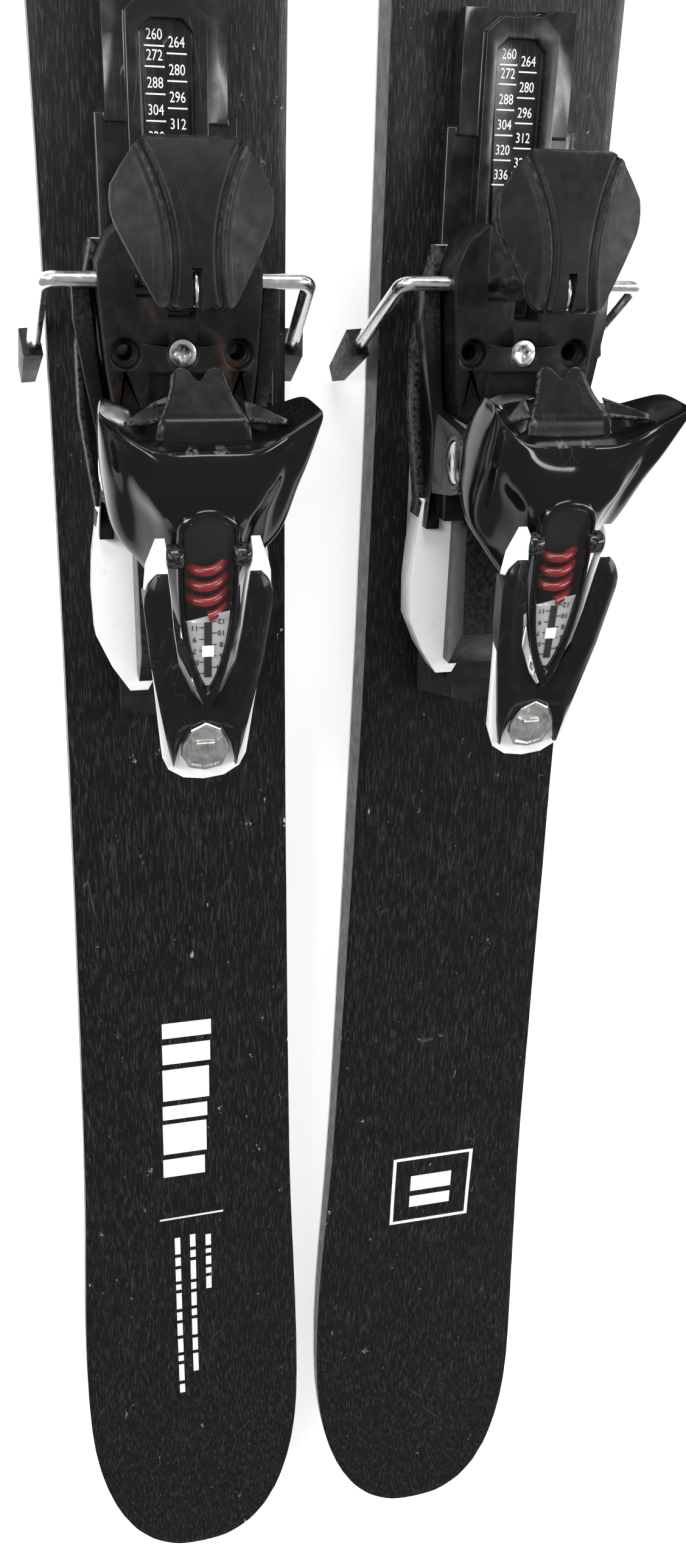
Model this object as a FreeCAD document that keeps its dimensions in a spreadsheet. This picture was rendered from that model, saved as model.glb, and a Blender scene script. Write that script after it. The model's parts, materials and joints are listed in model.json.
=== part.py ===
"""A pair of alpine skis with toe and heel bindings, heel cups open and brakes down.

Row frame: millimetres, +Z up, +Y from the tails to the tips, +X to the right ski.
The origin is on the ground under the middle of the pair; the brake paddles stand on Z = 0.
Each ski's pieces use one of these frames, placed by their body's Placement:
  ski frame    X across from the ski's axis, Y along from its middle, Z from its running surface
  heel frame   as the ski frame, with its origin on the deck at the brake housing's screw
  brake frame  origin on the axis of the brake wire
  cup frame    origin on the heel cup's pivot; the cup is drawn closed and turned open
  toe frame    origin on the deck between the two toe wing pivots
"""
import FreeCAD, Part
import math
import os

import Sketcher

SIZES = [
    ("ski_length", 1710), ("ski_spacing", 134), ("ski_lift", 26),
    ("waist_width", 94), ("tail_width", 117), ("tip_width", 122),
    ("waist_place", 771), ("tail_place", 170), ("tip_place", 1560),
    ("tail_round", 110), ("tip_round", 150), ("round_power", 2.4),
    ("deck_height", 20), ("tail_thick", 8), ("tip_thick", 7),
    ("deck_start", 560), ("deck_end", 1090),
    ("tail_kick", 27), ("tail_kick_run", 190), ("tip_kick", 58), ("tip_kick_run", 310),
    ("base_thick", 2), ("top_thick", 1), ("edge_width", 2.2), ("wall_width", 7),
    ("heel_place", 693), ("toe_place", 1023),
    ("rail_half", 26.3), ("rail_neck", 22.4), ("rail_top", 11), ("rail_rear", 150),
    ("rail_step", 80), ("track_front", 118), ("track_side_top", 13),
    ("frame_half", 14.5), ("frame_top", 17), ("recess_half", 9.75), ("recess_floor", 13),
    ("slide_gap", 0.4), ("plate_top", 20), ("hook_half", 32), ("wall_top", 26),
    ("housing_top", 43), ("hole_radius", 5.25), ("hole_spacing", 42),
    ("wire_radius", 2.8), ("brake_place", 25), ("brake_rise", 36), ("arm_half", 49),
    ("arm_flare", 4), ("arm_back", 32), ("arm_drop", 56), ("crank_half", 12),
    ("crank_forward", 5), ("crank_rise", 38), ("pin_gap", 0.05),
    ("pad_tilt", 8.6), ("pad_low", 3.4), ("pad_high", 9.4), ("pad_boss", 5.2),
    ("cup_back", 38), ("cup_rise", 62), ("cup_open", 30), ("hub_half", 26.8),
    ("pocket_radius", 32), ("pocket_place", 62), ("pivot_radius", 4),
    ("cheek_in", 27.3), ("cheek_out", 31.5), ("spring_tilt", 14),
    ("spring_start_y", 10), ("spring_start_z", 27), ("cavity_radius", 8),
    ("spring_radius", 6), ("spring_wire", 1.3), ("spring_pitch", 4.6), ("spring_length", 36),
    ("tube_wall", 1.5), ("tube_length", 80), ("screw_radius", 3),
    ("lever_slope", 0.2754), ("lever_top", 48), ("lever_depth", 8), ("cover_depth", 3),
    ("lever_pin_y", 2), ("lever_pin_z", 43), ("lever_pin_radius", 1.5),
    ("toe_base_half", 36), ("toe_base_top", 14), ("wing_place", 20), ("wing_low", 20.3),
    ("wing_high", 45.7), ("wing_pin", 3), ("wing_hub", 7.5), ("toe_top", 52),
    ("afd_half", 22), ("afd_travel", 8),
]

doc = FreeCAD.newDocument("AlpineSkis")
sheet = doc.addObject("Spreadsheet::Sheet", "Sizes")
for row, (alias, number) in enumerate(SIZES, start=1):
    sheet.set("A%d" % row, alias)
    sheet.set("B%d" % row, str(number))
    sheet.setAlias("B%d" % row, alias)
doc.recompute()


class Dim:
    """A length that keeps its value and the sheet expression that gives it."""

    def __init__(self, number, text=None):
        self.number = float(number)
        self.text = text if text else repr(float(number))

    def join(self, other, sign, number):
        return Dim(number, "(%s %s %s)" % (self.text, sign, dim(other).text))

    def __add__(self, other):
        return self.join(other, "+", self.number + dim(other).number)

    def __sub__(self, other):
        return self.join(other, "-", self.number - dim(other).number)

    def __mul__(self, other):
        return self.join(other, "*", self.number * dim(other).number)

    def __truediv__(self, other):
        return self.join(other, "/", self.number / dim(other).number)

    def __rsub__(self, other):
        return dim(other) - self

    def __neg__(self):
        return Dim(-self.number, "(-1 * %s)" % self.text)


def dim(thing):
    return thing if isinstance(thing, Dim) else Dim(thing)


def size(alias):
    return Dim(sheet.get(alias), "Sizes.%s" % alias)


def bind(thing, path, length, unit="mm"):
    """Ties a property or a constraint to the sheet."""
    thing.setExpression(path, "(%s) * 1%s" % (dim(length).text, unit))


def place(thing, position, tilt=None):
    """Puts an object at a position in the row frame, turned about X by tilt degrees."""
    if tilt is not None:
        thing.Placement = FreeCAD.Placement(FreeCAD.Vector(), FreeCAD.Rotation(FreeCAD.Vector(1, 0, 0), 1))
        bind(thing, "Placement.Rotation.Angle", tilt, "deg")
    for axis, length in zip("xyz", position):
        bind(thing, "Placement.Base." + axis, length)


def body(label, position, tilt=None):
    made = doc.addObject("PartDesign::Body", label)
    made.Label = label
    place(made, position, tilt)
    return made


def sketch_on(made, plane, offset=0):
    """A new sketch on one of the body's own planes, moved along the plane's normal."""
    sketch = made.newObject("Sketcher::SketchObject", "Sketch")
    support = [f for f in made.Origin.OriginFeatures if f.Role == plane + "_Plane"][0]
    sketch.AttachmentSupport = [(support, "")]
    sketch.MapMode = "FlatFace"
    bind(sketch, "AttachmentOffset.Base.z", offset)
    return sketch


def pin_point(sketch, line, end, x, y):
    """Fixes one end of a line at a place given by two lengths."""
    for kind, axis, length in (("DistanceX", -2, dim(x)), ("DistanceY", -1, dim(y))):
        if abs(length.number) < 1e-9:
            sketch.addConstraint(Sketcher.Constraint("PointOnObject", line, end, axis))
        elif length.number > 0:
            index = sketch.addConstraint(Sketcher.Constraint(kind, -1, 1, line, end, length.number))
            bind(sketch, "Constraints[%d]" % index, length)
        else:
            index = sketch.addConstraint(Sketcher.Constraint(kind, line, end, -1, 1, -length.number))
            bind(sketch, "Constraints[%d]" % index, -length)


def draw_outline(sketch, points):
    """A closed outline of straight lines through the points."""
    corners = [FreeCAD.Vector(dim(x).number, dim(y).number, 0) for x, y in points]
    first = sketch.GeometryCount
    count = len(points)
    for i in range(count):
        sketch.addGeometry(Part.LineSegment(corners[i], corners[(i + 1) % count]), False)
    for i in range(count):
        after = first + (i + 1) % count
        sketch.addConstraint(Sketcher.Constraint("Coincident", first + i, 2, after, 1))
        pin_point(sketch, first + i, 1, *points[i])


def draw_circle(sketch, x, y, radius):
    centre = FreeCAD.Vector(dim(x).number, dim(y).number, 0)
    circle = sketch.addGeometry(Part.Circle(centre, FreeCAD.Vector(0, 0, 1), dim(radius).number), False)
    index = sketch.addConstraint(Sketcher.Constraint("Radius", circle, dim(radius).number))
    bind(sketch, "Constraints[%d]" % index, radius)
    pin_point(sketch, circle, 3, x, y)


def both_sides(half):
    """A full outline from the points of its right half, listed from front to rear."""
    left = [(-dim(x), y) for x, y in reversed(half) if abs(dim(x).number) > 1e-9]
    return list(half) + left


def pad_up(made, outline, low, high):
    """Solid from an outline on the XY plane, between two heights."""
    sketch = sketch_on(made, "XY", low)
    draw_outline(sketch, outline)
    pad = made.newObject("PartDesign::Pad", "Pad")
    pad.Profile = sketch
    bind(pad, "Length", dim(high) - low)
    return pad


def pad_across(made, outline, half):
    """Solid from an outline on the YZ plane, as wide on both sides."""
    sketch = sketch_on(made, "YZ")
    draw_outline(sketch, outline)
    pad = made.newObject("PartDesign::Pad", "Pad")
    pad.Profile = sketch
    pad.SideType = "Symmetric"
    bind(pad, "Length", dim(half) * 2)
    return pad


def post_up(made, x, y, radius, low, high):
    """Upright round post."""
    sketch = sketch_on(made, "XY", low)
    draw_circle(sketch, x, y, radius)
    pad = made.newObject("PartDesign::Pad", "Post")
    pad.Profile = sketch
    bind(pad, "Length", dim(high) - low)
    return pad


def cut_down(made, outline, low, high):
    """Pocket from an outline, between two heights."""
    sketch = sketch_on(made, "XY", high)
    draw_outline(sketch, outline)
    pocket = made.newObject("PartDesign::Pocket", "Pocket")
    pocket.Profile = sketch
    bind(pocket, "Length", dim(high) - low)
    return pocket


def bore_down(made, places, radius, low, high):
    """Round upright bores, between two heights."""
    sketch = sketch_on(made, "XY", high)
    for x, y in places:
        draw_circle(sketch, x, y, radius)
    pocket = made.newObject("PartDesign::Pocket", "Bore")
    pocket.Profile = sketch
    bind(pocket, "Length", dim(high) - low)
    return pocket


def cut_across(made, outline=None, circle=None, half=None):
    """Pocket along X, right through or as deep as half on both sides of the middle."""
    sketch = sketch_on(made, "YZ")
    if outline:
        draw_outline(sketch, outline)
    if circle:
        draw_circle(sketch, *circle)
    pocket = made.newObject("PartDesign::Pocket", "CrossPocket")
    pocket.Profile = sketch
    pocket.SideType = "Symmetric"
    if half is None:
        pocket.Type = "ThroughAll"
    else:
        bind(pocket, "Length", dim(half) * 2)
    return pocket


def keep_inside(made, outline, reach=400):
    """Trims the body to a side outline: all that lies outside it is cut away."""
    sketch = sketch_on(made, "YZ")
    draw_outline(sketch, [(-reach, -reach), (reach, -reach), (reach, reach), (-reach, reach)])
    draw_outline(sketch, outline)
    pocket = made.newObject("PartDesign::Pocket", "Trim")
    pocket.Profile = sketch
    pocket.SideType = "Symmetric"
    pocket.Type = "ThroughAll"
    return pocket


def mirror_across(made, features):
    """Repeats features on the other side of the body's YZ plane."""
    mirrored = made.newObject("PartDesign::Mirrored", "Mirrored")
    mirrored.Originals = features
    plane = [f for f in made.Origin.OriginFeatures if f.Role == "YZ_Plane"][0]
    mirrored.MirrorPlane = (plane, [""])
    made.Tip = mirrored
    return mirrored


# ---- ski frame: curves of the ski, from its tail at 0 to its tip at ski_length ----

LENGTH = size("ski_length").number


def half_width(along, inset):
    """Half width where the sidecut runs, less an inset."""
    waist = size("waist_place").number
    if along < waist:
        wide, spot = size("tail_width").number, size("tail_place").number
    else:
        wide, spot = size("tip_width").number, size("tip_place").number
    narrow = size("waist_width").number
    return narrow / 2 + (wide - narrow) / 2 * ((along - waist) / (spot - waist)) ** 2 - inset


def round_end(spot, run, inset, steps):
    """Points of a rounded end from the ski's axis to its full width, as (across, from the end)."""
    power = 2 / size("round_power").number
    points = []
    for step in range(steps):
        angle = math.pi / 2 * step / steps
        across = half_width(spot, inset) * math.sin(angle) ** power
        points.append((across, inset + (run - inset) * (1 - math.cos(angle) ** power)))
    return points


def outline_points(inset):
    """Right side of the ski in plan, tail to tip."""
    tail_run = size("tail_round").number
    tip_run = size("tip_round").number
    tail = round_end(tail_run, tail_run, inset, 6)
    tip = [(x, LENGTH - y) for x, y in round_end(LENGTH - tip_run, tip_run, inset, 7)]
    stations = [tail_run + (LENGTH - tip_run - tail_run) * i / 11 for i in range(12)]
    middle = [(half_width(along, inset), along) for along in stations]
    return tail + middle + list(reversed(tip))


def plan_face(inset):
    """The ski's outline in plan, as a face that lies below the ski."""
    right = [FreeCAD.Vector(x, along - LENGTH / 2, -50) for x, along in outline_points(inset)]
    left = [FreeCAD.Vector(-p.x, p.y, p.z) for p in right]
    edges = []
    for points in (right, left):
        curve = Part.BSplineCurve()
        curve.interpolate(points)
        edges.append(curve.toShape())
    return Part.Face(Part.Wire(edges))


def base_height(along):
    """Height of the running surface: flat, with a kicked tail and a raised tip."""
    tail_run = size("tail_kick_run").number
    tip_run = size("tip_kick_run").number
    if along < tail_run:
        return size("tail_kick").number * ((tail_run - along) / tail_run) ** 2
    if along > LENGTH - tip_run:
        return size("tip_kick").number * ((along - LENGTH + tip_run) / tip_run) ** 2
    return 0.0


def thickness(along):
    """Thickness, smooth from the thin ends to the deck under the bindings."""
    start, end = size("deck_start").number, size("deck_end").number
    deck = size("deck_height").number
    if along < start:
        thin, part = size("tail_thick").number, along / start
    elif along > end:
        thin, part = size("tip_thick").number, (LENGTH - along) / (LENGTH - end)
    else:
        return deck
    return thin + (deck - thin) * math.sin(math.pi / 2 * part) ** 1.3


def side_edges(height, breaks):
    """Edges of one long side of a layer: straight where it is level, curved elsewhere."""
    edges = []
    for start, end in zip(breaks, breaks[1:]):
        steps = 10
        stations = [start + (end - start) * i / steps for i in range(steps + 1)]
        points = [FreeCAD.Vector(-100, s - LENGTH / 2, height(min(max(s, 0), LENGTH))) for s in stations]
        if max(p.z for p in points) - min(p.z for p in points) < 1e-6:
            edges.append(Part.makeLine(points[0], points[-1]))
        else:
            curve = Part.BSplineCurve()
            curve.interpolate(points)
            edges.append(curve.toShape())
    return edges


def band_face(low, high):
    """Side view of one layer of the ski; low and high give its heights along the ski."""
    past = 4
    breaks = [-past, size("tail_kick_run").number, size("deck_start").number, size("deck_end").number,
              LENGTH - size("tip_kick_run").number, LENGTH + past]
    lower = side_edges(low, breaks)
    upper = side_edges(high, breaks)
    tail_end = Part.makeLine(lower[0].firstVertex().Point, upper[0].firstVertex().Point)
    tip_end = Part.makeLine(lower[-1].lastVertex().Point, upper[-1].lastVertex().Point)
    return Part.Face(Part.Wire(Part.__sortEdges__(lower + upper + [tail_end, tip_end])))


def face_prism(name, face, direction, reach):
    """A solid swept from a face."""
    source = doc.addObject("Part::Feature", name + "Face")
    source.Shape = face
    prism = doc.addObject("Part::Extrusion", name)
    prism.Base = source
    prism.DirMode = "Custom"
    prism.Dir = direction
    prism.LengthFwd = reach
    prism.Solid = True
    return prism


def two_part(kind, label, base, tool):
    made = doc.addObject("Part::" + kind, label)
    made.Label = label
    made.Base = base
    made.Tool = tool
    return made


def ski_layers(side, centre):
    """The laminate: core, sidewalls, base, edges and topsheet."""
    up = FreeCAD.Vector(0, 0, 1)
    across = FreeCAD.Vector(1, 0, 0)
    base_thick = size("base_thick").number
    top_thick = size("top_thick").number
    bands = {
        "Low": (base_height, lambda s: base_height(s) + base_thick),
        "Mid": (lambda s: base_height(s) + base_thick, lambda s: base_height(s) + thickness(s) - top_thick),
        "Top": (lambda s: base_height(s) + thickness(s) - top_thick, lambda s: base_height(s) + thickness(s)),
    }
    band = {name: face_prism(side + name + "Band", band_face(*heights), across, 200)
            for name, heights in bands.items()}
    prism = {name: face_prism(side + name + "Plan", plan_face(inset), up, 200)
             for name, inset in (("Full", 0), ("Edge", size("edge_width").number),
                                 ("Wall", size("wall_width").number))}
    parts = [two_part("Common", side + "_ski_core", prism["Wall"], band["Mid"]),
             two_part("Common", side + "_ski_base", prism["Edge"], band["Low"]),
             two_part("Common", side + "_ski_topsheet", prism["Full"], band["Top"])]
    edge_ring = two_part("Cut", side + "EdgeRing", prism["Full"], prism["Edge"])
    wall_ring = two_part("Cut", side + "WallRing", prism["Full"], prism["Wall"])
    parts.append(two_part("Common", side + "_ski_edges", edge_ring, band["Low"]))
    parts.append(two_part("Common", side + "_ski_sidewalls", wall_ring, band["Mid"]))
    for made in parts:
        place(made, (centre, 0, size("ski_lift")))
    return parts


# ---- heel frame: track, carriage, tower, brake housing ----

TRACK_SCREWS = [(0, -120), (0, -75), (0, -30), (0, 15)]
TOE_SCREWS = [(-30, 50), (30, 50), (-30, -70), (30, -70)]
SCREW_HEAD = 4.5
SCREW_SHANK = 2.6


def heel_track(side, spot):
    """T-shaped rail on the deck, with a raised frame round the sole-length scale."""
    made = body(side + "_heel_track", spot)
    rear, front = -size("rail_rear"), size("track_front")
    neck, rail, step = size("rail_neck"), size("rail_half"), size("rail_step")
    pad_up(made, both_sides([(neck, front), (neck, rear), (0, rear - 8)]), 0, 6)
    pad_up(made, both_sides([(rail, step), (rail, rear), (0, rear - 8)]), 6, size("rail_top"))
    pad_up(made, both_sides([(neck, front + 2), (neck, step - 3)]), 6, size("track_side_top"))
    half = size("frame_half")
    arch = [(half - 6, front - 1), (half, front - 6), (half, rear + 6)]
    pad_up(made, both_sides(arch), size("rail_top") - 1, size("frame_top"))
    inner = size("recess_half")
    recess = [(inner - 4, front - 8), (inner, front - 12), (inner, rear + 16)]
    cut_down(made, both_sides(recess), size("recess_floor"), size("frame_top") + 1)
    cut_down(made, both_sides([(half, front + 3), (half - 7, front)]), 7, size("frame_top") + 1)
    bore_down(made, TRACK_SCREWS, SCREW_SHANK + 0.1, -1, size("recess_floor") + 1)
    bore_down(made, TRACK_SCREWS, SCREW_HEAD + 0.3, 9, size("recess_floor") + 1)
    return made


def heel_carriage(side, spot):
    """White plate that hooks round the rail and widens into two rear feet."""
    made = body(side + "_heel_carriage", spot)
    floor = size("rail_top") + size("slide_gap")
    top = size("plate_top")
    plan = [(30, 38), (34, 20), (37, 0), (37, -25), (34, -50), (32.5, -62), (35.5, -80), (36.5, -95),
            (36, -112), (30, -126), (23, -137), (15.5, -137), (12, -131)]
    pad_up(made, both_sides(plan), floor, top)
    feet = [(37, -60), (37, -150), (12, -150), (12, -60)]
    foot = pad_up(made, feet, floor, size("wall_top"))
    mirror_across(made, [foot])
    outside = [(45, -40), (32.5, -62), (35.5, -80), (36.5, -95), (36, -112), (30, -126), (23, -137),
               (15.5, -137), (11, -129), (11, -160), (60, -160), (60, -40)]
    shave = cut_down(made, outside, 5, size("wall_top") + 1)
    mirror_across(made, [shave])
    hook = size("hook_half")
    side_wall = pad_up(made, [(size("rail_half") + size("slide_gap"), 10), (hook, 10), (hook, -62),
                              (hook, -110), (size("rail_half") + size("slide_gap"), -110)], 1, floor)
    lip = pad_up(made, [(size("rail_neck") + size("slide_gap"), 10), (hook, 10), (hook, -110),
                        (size("rail_neck") + size("slide_gap"), -110)], 1, 6 - size("slide_gap"))
    mirror_across(made, [side_wall, lip])
    channel = size("frame_half") + size("slide_gap")
    cut_down(made, both_sides([(channel, 60), (channel, -160)]), 10, size("frame_top") + size("slide_gap"))
    return made


def heel_tower(side, spot):
    """Black frame on the carriage: curved side guards, pivot cheeks and a low block behind them."""
    made = body(side + "_heel_tower", spot)
    low = size("plate_top")
    guard = pad_up(made, [(32.5, 24), (38.5, 24), (38.5, 10), (35.5, -10), (32, -31), (31.5, -50),
                          (33, -71), (27.3, -71), (27.3, -31), (30, -10)], low, 32)
    sketch = sketch_on(made, "YZ", size("cheek_in"))
    back, rise = size("cup_back"), size("cup_rise")
    draw_outline(sketch, [(-back - 20, low), (-back + 16, low), (-back + 12, rise - 4), (-back + 10, rise + 7),
                          (-back + 4, rise + 11), (-back - 4, rise + 11), (-back - 11, rise + 4),
                          (-back - 14, rise - 6)])
    cheek = made.newObject("PartDesign::Pad", "Cheek")
    cheek.Profile = sketch
    bind(cheek, "Length", size("cheek_out") - size("cheek_in"))
    mirror_across(made, [guard, cheek])
    tower = [(-58, low), (-58, 45), (-112, 50), (-130, 34), (-130, low)]
    pad_across(made, tower, 20)
    pad_up(made, both_sides([(28, -50), (28, -66)]), low, 40)
    cut_down(made, both_sides([(41, -60), (41, -140)]), low - 1, size("wall_top"))
    cut_across(made, circle=(-back, rise, size("pivot_radius")))
    return made


def brake_housing(side, spot):
    """Block ahead of the cup with three screw holes, a crank slot and a bore for the wire."""
    made = body(side + "_brake_housing", spot)
    low, top = size("plate_top"), size("housing_top")
    plan = [(0, 46), (19, 46), (26, 40), (30, 31), (30, 20), (28, -6), (25.5, -24), (22, -27), (17, -27),
            (12, -19), (6, -16.5), (0, -16)]
    pad_up(made, both_sides(plan), low, top)
    cut_down(made, both_sides([(13, -7), (15, -32)]), 36, top + 1)
    crank = size("crank_half") + size("wire_radius") + 1.7
    cut_down(made, both_sides([(crank, 60), (crank, 19.5), (5, 19.5), (5, 12.5)]), 29, top + 1)
    spread = size("hole_spacing") / 2
    bore_down(made, [(-spread, 0), (spread, 0), (0, 0)], size("hole_radius"), 38, top + 1)
    bore_down(made, [(-spread, 0), (spread, 0), (0, 0)], SCREW_SHANK + 0.2, low - 1, top)
    cut_across(made, circle=(size("brake_place"), size("brake_rise"), size("wire_radius") + size("pin_gap")))
    return made


def screw_at(name, spots, head_low, head_high, foot):
    """Screws with a flat head and a shank, each a fused solid."""
    solids = []
    for number, (x, y) in enumerate(spots):
        pieces = []
        for part_name, radius, low, high in (("Head", SCREW_HEAD, head_low, head_high),
                                             ("Shank", SCREW_SHANK, foot, head_low)):
            cylinder = doc.addObject("Part::Cylinder", "%s%s%d" % (name, part_name, number))
            cylinder.Radius = radius
            cylinder.Height = high - low
            cylinder.Placement.Base = FreeCAD.Vector(x, y, low)
            pieces.append(cylinder)
        solids.append(two_part("Fuse", "%sScrew%d" % (name, number), *pieces))
    return solids


def binding_screws(side, heel_spot, toe_spot):
    """Screws that hold the track and the toe base to the ski."""
    label = side + "_binding_screws"
    gap = toe_spot[1].number - heel_spot[1].number
    toe_spots = [(x, y + gap) for x, y in TOE_SCREWS]
    solids = screw_at(side + "Track", TRACK_SCREWS, 9.0, 12.0, -12.0)
    solids += screw_at(side + "Toe", toe_spots, 7.0, 10.0, -12.0)
    made = doc.addObject("Part::Compound", label)
    made.Label = label
    made.Links = solids
    place(made, heel_spot)
    return made


def housing_screw(side, spot):
    """The bright screw in the middle hole of the brake housing."""
    made = body(side + "_housing_screw", spot)
    head = size("hole_radius") - 0.25
    post_up(made, 0, 0, SCREW_SHANK, size("plate_top"), 38.5)
    post_up(made, 0, 0, head, 38, size("housing_top") - 1)
    for outline in ([(3, 0.8), (3, -0.8), (-3, -0.8), (-3, 0.8)], [(0.8, 3), (0.8, -3), (-0.8, -3), (-0.8, 3)]):
        cut_down(made, outline, size("housing_top") - 3, size("housing_top"))
    return made


# ---- brake frame: wire, paddles and pad ----


def rounded_path(points, radius):
    """Straight runs joined by tangent arcs."""
    edges = []
    start = points[0]
    for before, corner, after in zip(points, points[1:], points[2:]):
        inward = (before - corner).normalize()
        outward = (after - corner).normalize()
        half = inward.getAngle(outward) / 2
        reach = radius / math.tan(half)
        first = corner + inward * reach
        last = corner + outward * reach
        bisector = (inward + outward).normalize()
        middle = corner + bisector * (radius / math.sin(half) - radius)
        edges.append(Part.makeLine(start, first))
        edges.append(Part.Arc(first, middle, last).toShape())
        start = last
    edges.append(Part.makeLine(start, points[-1]))
    return Part.Wire(edges)


def brake_points():
    """Corners of the wire: arm, cross run, crank and the same mirrored."""
    arm = size("arm_half").number
    crank = size("crank_half").number
    half = [(arm + size("arm_flare").number, -size("arm_back").number, -size("arm_drop").number),
            (arm, 0, 0), (crank, 0, 0),
            (crank, size("crank_forward").number, size("crank_rise").number)]
    right = [FreeCAD.Vector(*point) for point in half]
    left = [FreeCAD.Vector(-p.x, p.y, p.z) for p in reversed(right)]
    return right + left


def brake_wire(side, spot):
    """One bent steel wire: two arms and the crank that carries the pad."""
    label = side + "_brake_wire"
    points = brake_points()
    path = rounded_path(points, 5)
    circle = Part.Circle(points[0], points[1] - points[0], size("wire_radius").number)
    profile = Part.Wire([circle.toShape()])
    made = doc.addObject("Part::Feature", label)
    made.Label = label
    made.Shape = path.makePipeShell([profile], True, True)
    place(made, spot)
    return made


def brake_paddles(side, spot):
    """Tapered plastic paddles on the ends of the wire."""
    label = side + "_brake_paddles"
    points = brake_points()
    solids = []
    for number, (end, bend) in enumerate(((points[0], points[1]), (points[-1], points[-2]))):
        along = (end - bend).normalize()
        block = doc.addObject("Part::Wedge", "%sPaddle%d" % (side, number))
        inner, outer = -3.2, 4.6
        if end.x < 0:
            inner, outer = -outer, -inner
        block.Xmin, block.Xmax, block.Zmin, block.Zmax = inner, outer, -5, 6.5
        block.X2min, block.X2max, block.Z2min, block.Z2max = inner + 1, outer - 1, -3, 4
        block.Ymin, block.Ymax = -10, 22
        block.Placement = FreeCAD.Placement(end, FreeCAD.Rotation(FreeCAD.Vector(0, 1, 0), along))
        socket = doc.addObject("Part::Cylinder", "%sSocket%d" % (side, number))
        bind(socket, "Radius", size("wire_radius"))
        socket.Height = 60
        turn = FreeCAD.Rotation(FreeCAD.Vector(0, 0, 1), along)
        socket.Placement = FreeCAD.Placement(end - along * 60, turn)
        solids.append(two_part("Cut", "%sPaddleCut%d" % (side, number), block, socket))
    made = doc.addObject("Part::Compound", label)
    made.Label = label
    made.Links = solids
    place(made, spot)
    return made


def brake_pad(side, spot):
    """Pedal under the boot heel, turning on the top of the crank."""
    forward, rise = size("crank_forward"), size("crank_rise")
    made = body(side + "_brake_pad", (spot[0], spot[1] + forward, spot[2] + rise), -size("pad_tilt"))
    plan = [(15.5, 39), (21, 35), (25.6, 26), (25.6, 14), (22.5, 6), (15, -5), (11, -9), (0, -9.5)]
    pad_up(made, both_sides(plan), size("pad_low"), size("pad_high"))
    boss_half = size("crank_half") - 5.4
    boss = sketch_on(made, "YZ")
    draw_outline(boss, [(-4, 4.2), (-4, -2), (-2, -4.2), (2, -4.2), (4, -2), (4, 4.2)])
    pad = made.newObject("PartDesign::Pad", "Boss")
    pad.Profile = boss
    pad.SideType = "Symmetric"
    bind(pad, "Length", boss_half * 2)
    cut_across(made, circle=(0, 0, size("wire_radius") + size("pin_gap")), half=boss_half)
    cut_down(made, [(6.8, 1), (6.8, -12), (3.6, -12), (3.6, 1)], size("pad_low") - 1, size("pad_high") + 1)
    return made


# ---- cup frame: heel cup, treadle, window, spring, lever ----


def lever_line(y):
    """Height of the lever's top surface in the cup frame."""
    return size("lever_top") + (dim(2) - y) * size("lever_slope")


def spring_point(distance, above=0):
    """Place on the spring's axis, a distance back from its front end."""
    tilt = math.radians(size("spring_tilt").number)
    y = size("spring_start_y") - dim(distance) * math.cos(tilt) + dim(above) * math.sin(tilt)
    z = size("spring_start_z") + dim(distance) * math.sin(tilt) + dim(above) * math.cos(tilt)
    return (y, z)


def tube_outline(radius, start, end):
    """Side outline of a bar round the spring's axis."""
    return [spring_point(start, -dim(radius)), spring_point(start, radius),
            spring_point(end, radius), spring_point(end, -dim(radius))]


def spring_bore(made, radius, start, end):
    """Round bore along the spring's axis."""
    tilt = size("spring_tilt")
    y, z = spring_point(start)
    sketch = made.newObject("Sketcher::SketchObject", "AxisSketch")
    support = [f for f in made.Origin.OriginFeatures if f.Role == "XZ_Plane"][0]
    sketch.AttachmentSupport = [(support, "")]
    sketch.MapMode = "FlatFace"
    turn = FreeCAD.Rotation(FreeCAD.Vector(1, 0, 0), -tilt.number)
    sketch.AttachmentOffset = FreeCAD.Placement(FreeCAD.Vector(0, z.number, -y.number), turn)
    draw_circle(sketch, 0, 0, radius)
    pocket = made.newObject("PartDesign::Pocket", "AxisBore")
    pocket.Profile = sketch
    pocket.Reversed = True
    bind(pocket, "Length", dim(end) - start)
    return pocket


BULLET = [(8, 17), (12, 12), (12, -12), (11.4, -25), (9.4, -40), (4, -52), (0, -57)]


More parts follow.
